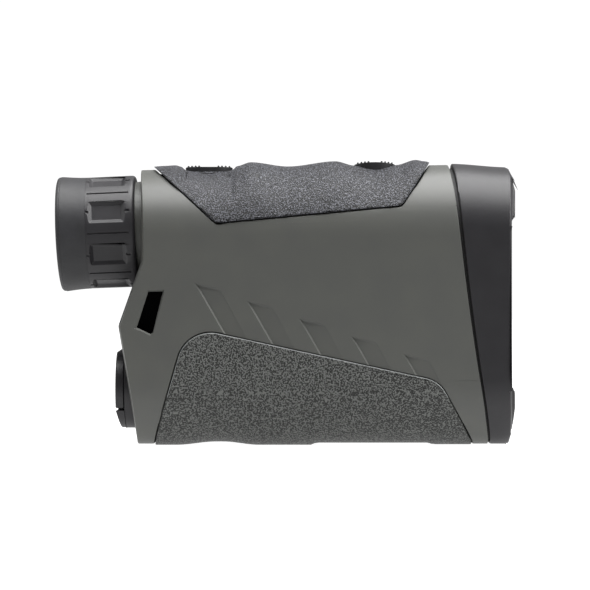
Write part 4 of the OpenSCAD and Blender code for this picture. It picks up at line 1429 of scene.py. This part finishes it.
@dataclass
class Studio:
    """A white sweep, soft light from above and the camera at the right side."""

    eye: tuple[float, float, float] = (0.0024, -0.600, 0.0386)
    lens: float = 140.8
    glow: tuple[Point, ...] = ((0.0, 0.1), (0.3, 0.12), (0.42, 1.0), (0.6, 1.0), (0.75, 0.3), (1.0, 0.3))
    tent: float = 1.5

    def camera(self) -> None:
        """The camera, square to the side of the instrument."""
        bpy.ops.object.camera_add(location=self.eye, rotation=(math.radians(90), 0, 0))
        camera = bpy.context.object
        camera.data.lens = self.lens
        camera.data.sensor_width = 36
        camera.data.clip_start = 0.01
        bpy.context.scene.camera = camera

    def panel(self, name: str, place: tuple[float, float, float], size: Point, power: float,
              aim: tuple[float, float, float] = (0, 0, 0.04)) -> None:
        """A soft rectangular light that faces a point."""
        bpy.ops.object.light_add(type="AREA", location=place)
        light = bpy.context.object
        light.name = name
        light.data.shape = "RECTANGLE"
        light.data.size, light.data.size_y = size
        light.data.energy = power
        way = Vector(aim) - Vector(place)
        light.rotation_euler = way.to_track_quat("-Z", "Y").to_euler()

    def sky(self) -> None:
        """The surroundings: white behind, at both ends and overhead, darker behind the camera."""
        world = bpy.data.worlds.new("studio")
        bpy.context.scene.world = world
        world.use_nodes = True
        tree = world.node_tree
        tree.nodes.clear()

        def add(kind: str, links: dict, **settings: object) -> bpy.types.Node:
            node = tree.nodes.new("ShaderNode" + kind)
            for key, value in settings.items():
                setattr(node, key, value)
            for key, value in links.items():
                if isinstance(value, bpy.types.NodeSocket):
                    tree.links.new(value, node.inputs[key])
                else:
                    node.inputs[key].default_value = value
            return node

        where = add("TexCoord", {})
        parts = add("SeparateXYZ", {0: where.outputs["Generated"]})
        place = add("MapRange", {"Value": parts.outputs["Y"], "From Min": -1.0, "From Max": 1.0})
        back = add("ValToRGB", {"Fac": place.outputs["Result"]})
        ramp = back.color_ramp
        while len(ramp.elements) < len(self.glow):
            ramp.elements.new(0.5)
        for element, (position, value) in zip(ramp.elements, self.glow):
            element.position = position
            element.color = (value, value, value, 1)
        full = add("VectorMath", {0: back.outputs["Color"], "Scale": self.tent}, operation="SCALE")
        seen = add("LightPath", {})
        strength = add("MixRGB", {"Fac": seen.outputs["Is Camera Ray"], "Color1": full.outputs["Vector"],
                                  "Color2": (1.05, 1.05, 1.05, 1)})
        light = add("Background", {"Color": strength.outputs["Color"]})
        add("OutputWorld", {"Surface": light.outputs["Background"]})

    def build(self) -> None:
        """Sets the floor, the lights and the camera."""
        bpy.ops.mesh.primitive_plane_add(size=6, location=(0, 0, 0))
        floor = bpy.context.object
        floor.name = "floor"
        floor.data.materials.append(material_of(FLOOR_CARD))
        self.sky()
        self.panel("ceiling", (0.1, -0.06, 0.9), (1.0, 0.6), 11.5)
        self.panel("raking", (0.75, -0.36, 0.62), (0.45, 0.3), 5.5)
        self.camera()
        bpy.context.scene.view_settings.view_transform = "Standard"


def main() -> None:
    """Builds every piece in order, then the studio."""
    logging.basicConfig(level=logging.INFO, format="%(message)s")
    envelope = Envelope()
    trim = Trim(envelope)
    CarriedOver().build()
    Housing(envelope, trim).build()
    trim.build()
    Hood(envelope).build()
    Eyepiece(envelope).build()
    BatteryDoor(envelope).build()
    Buttons(envelope, trim).build()
    Studio().build()


if __name__ == "__main__":
    main()
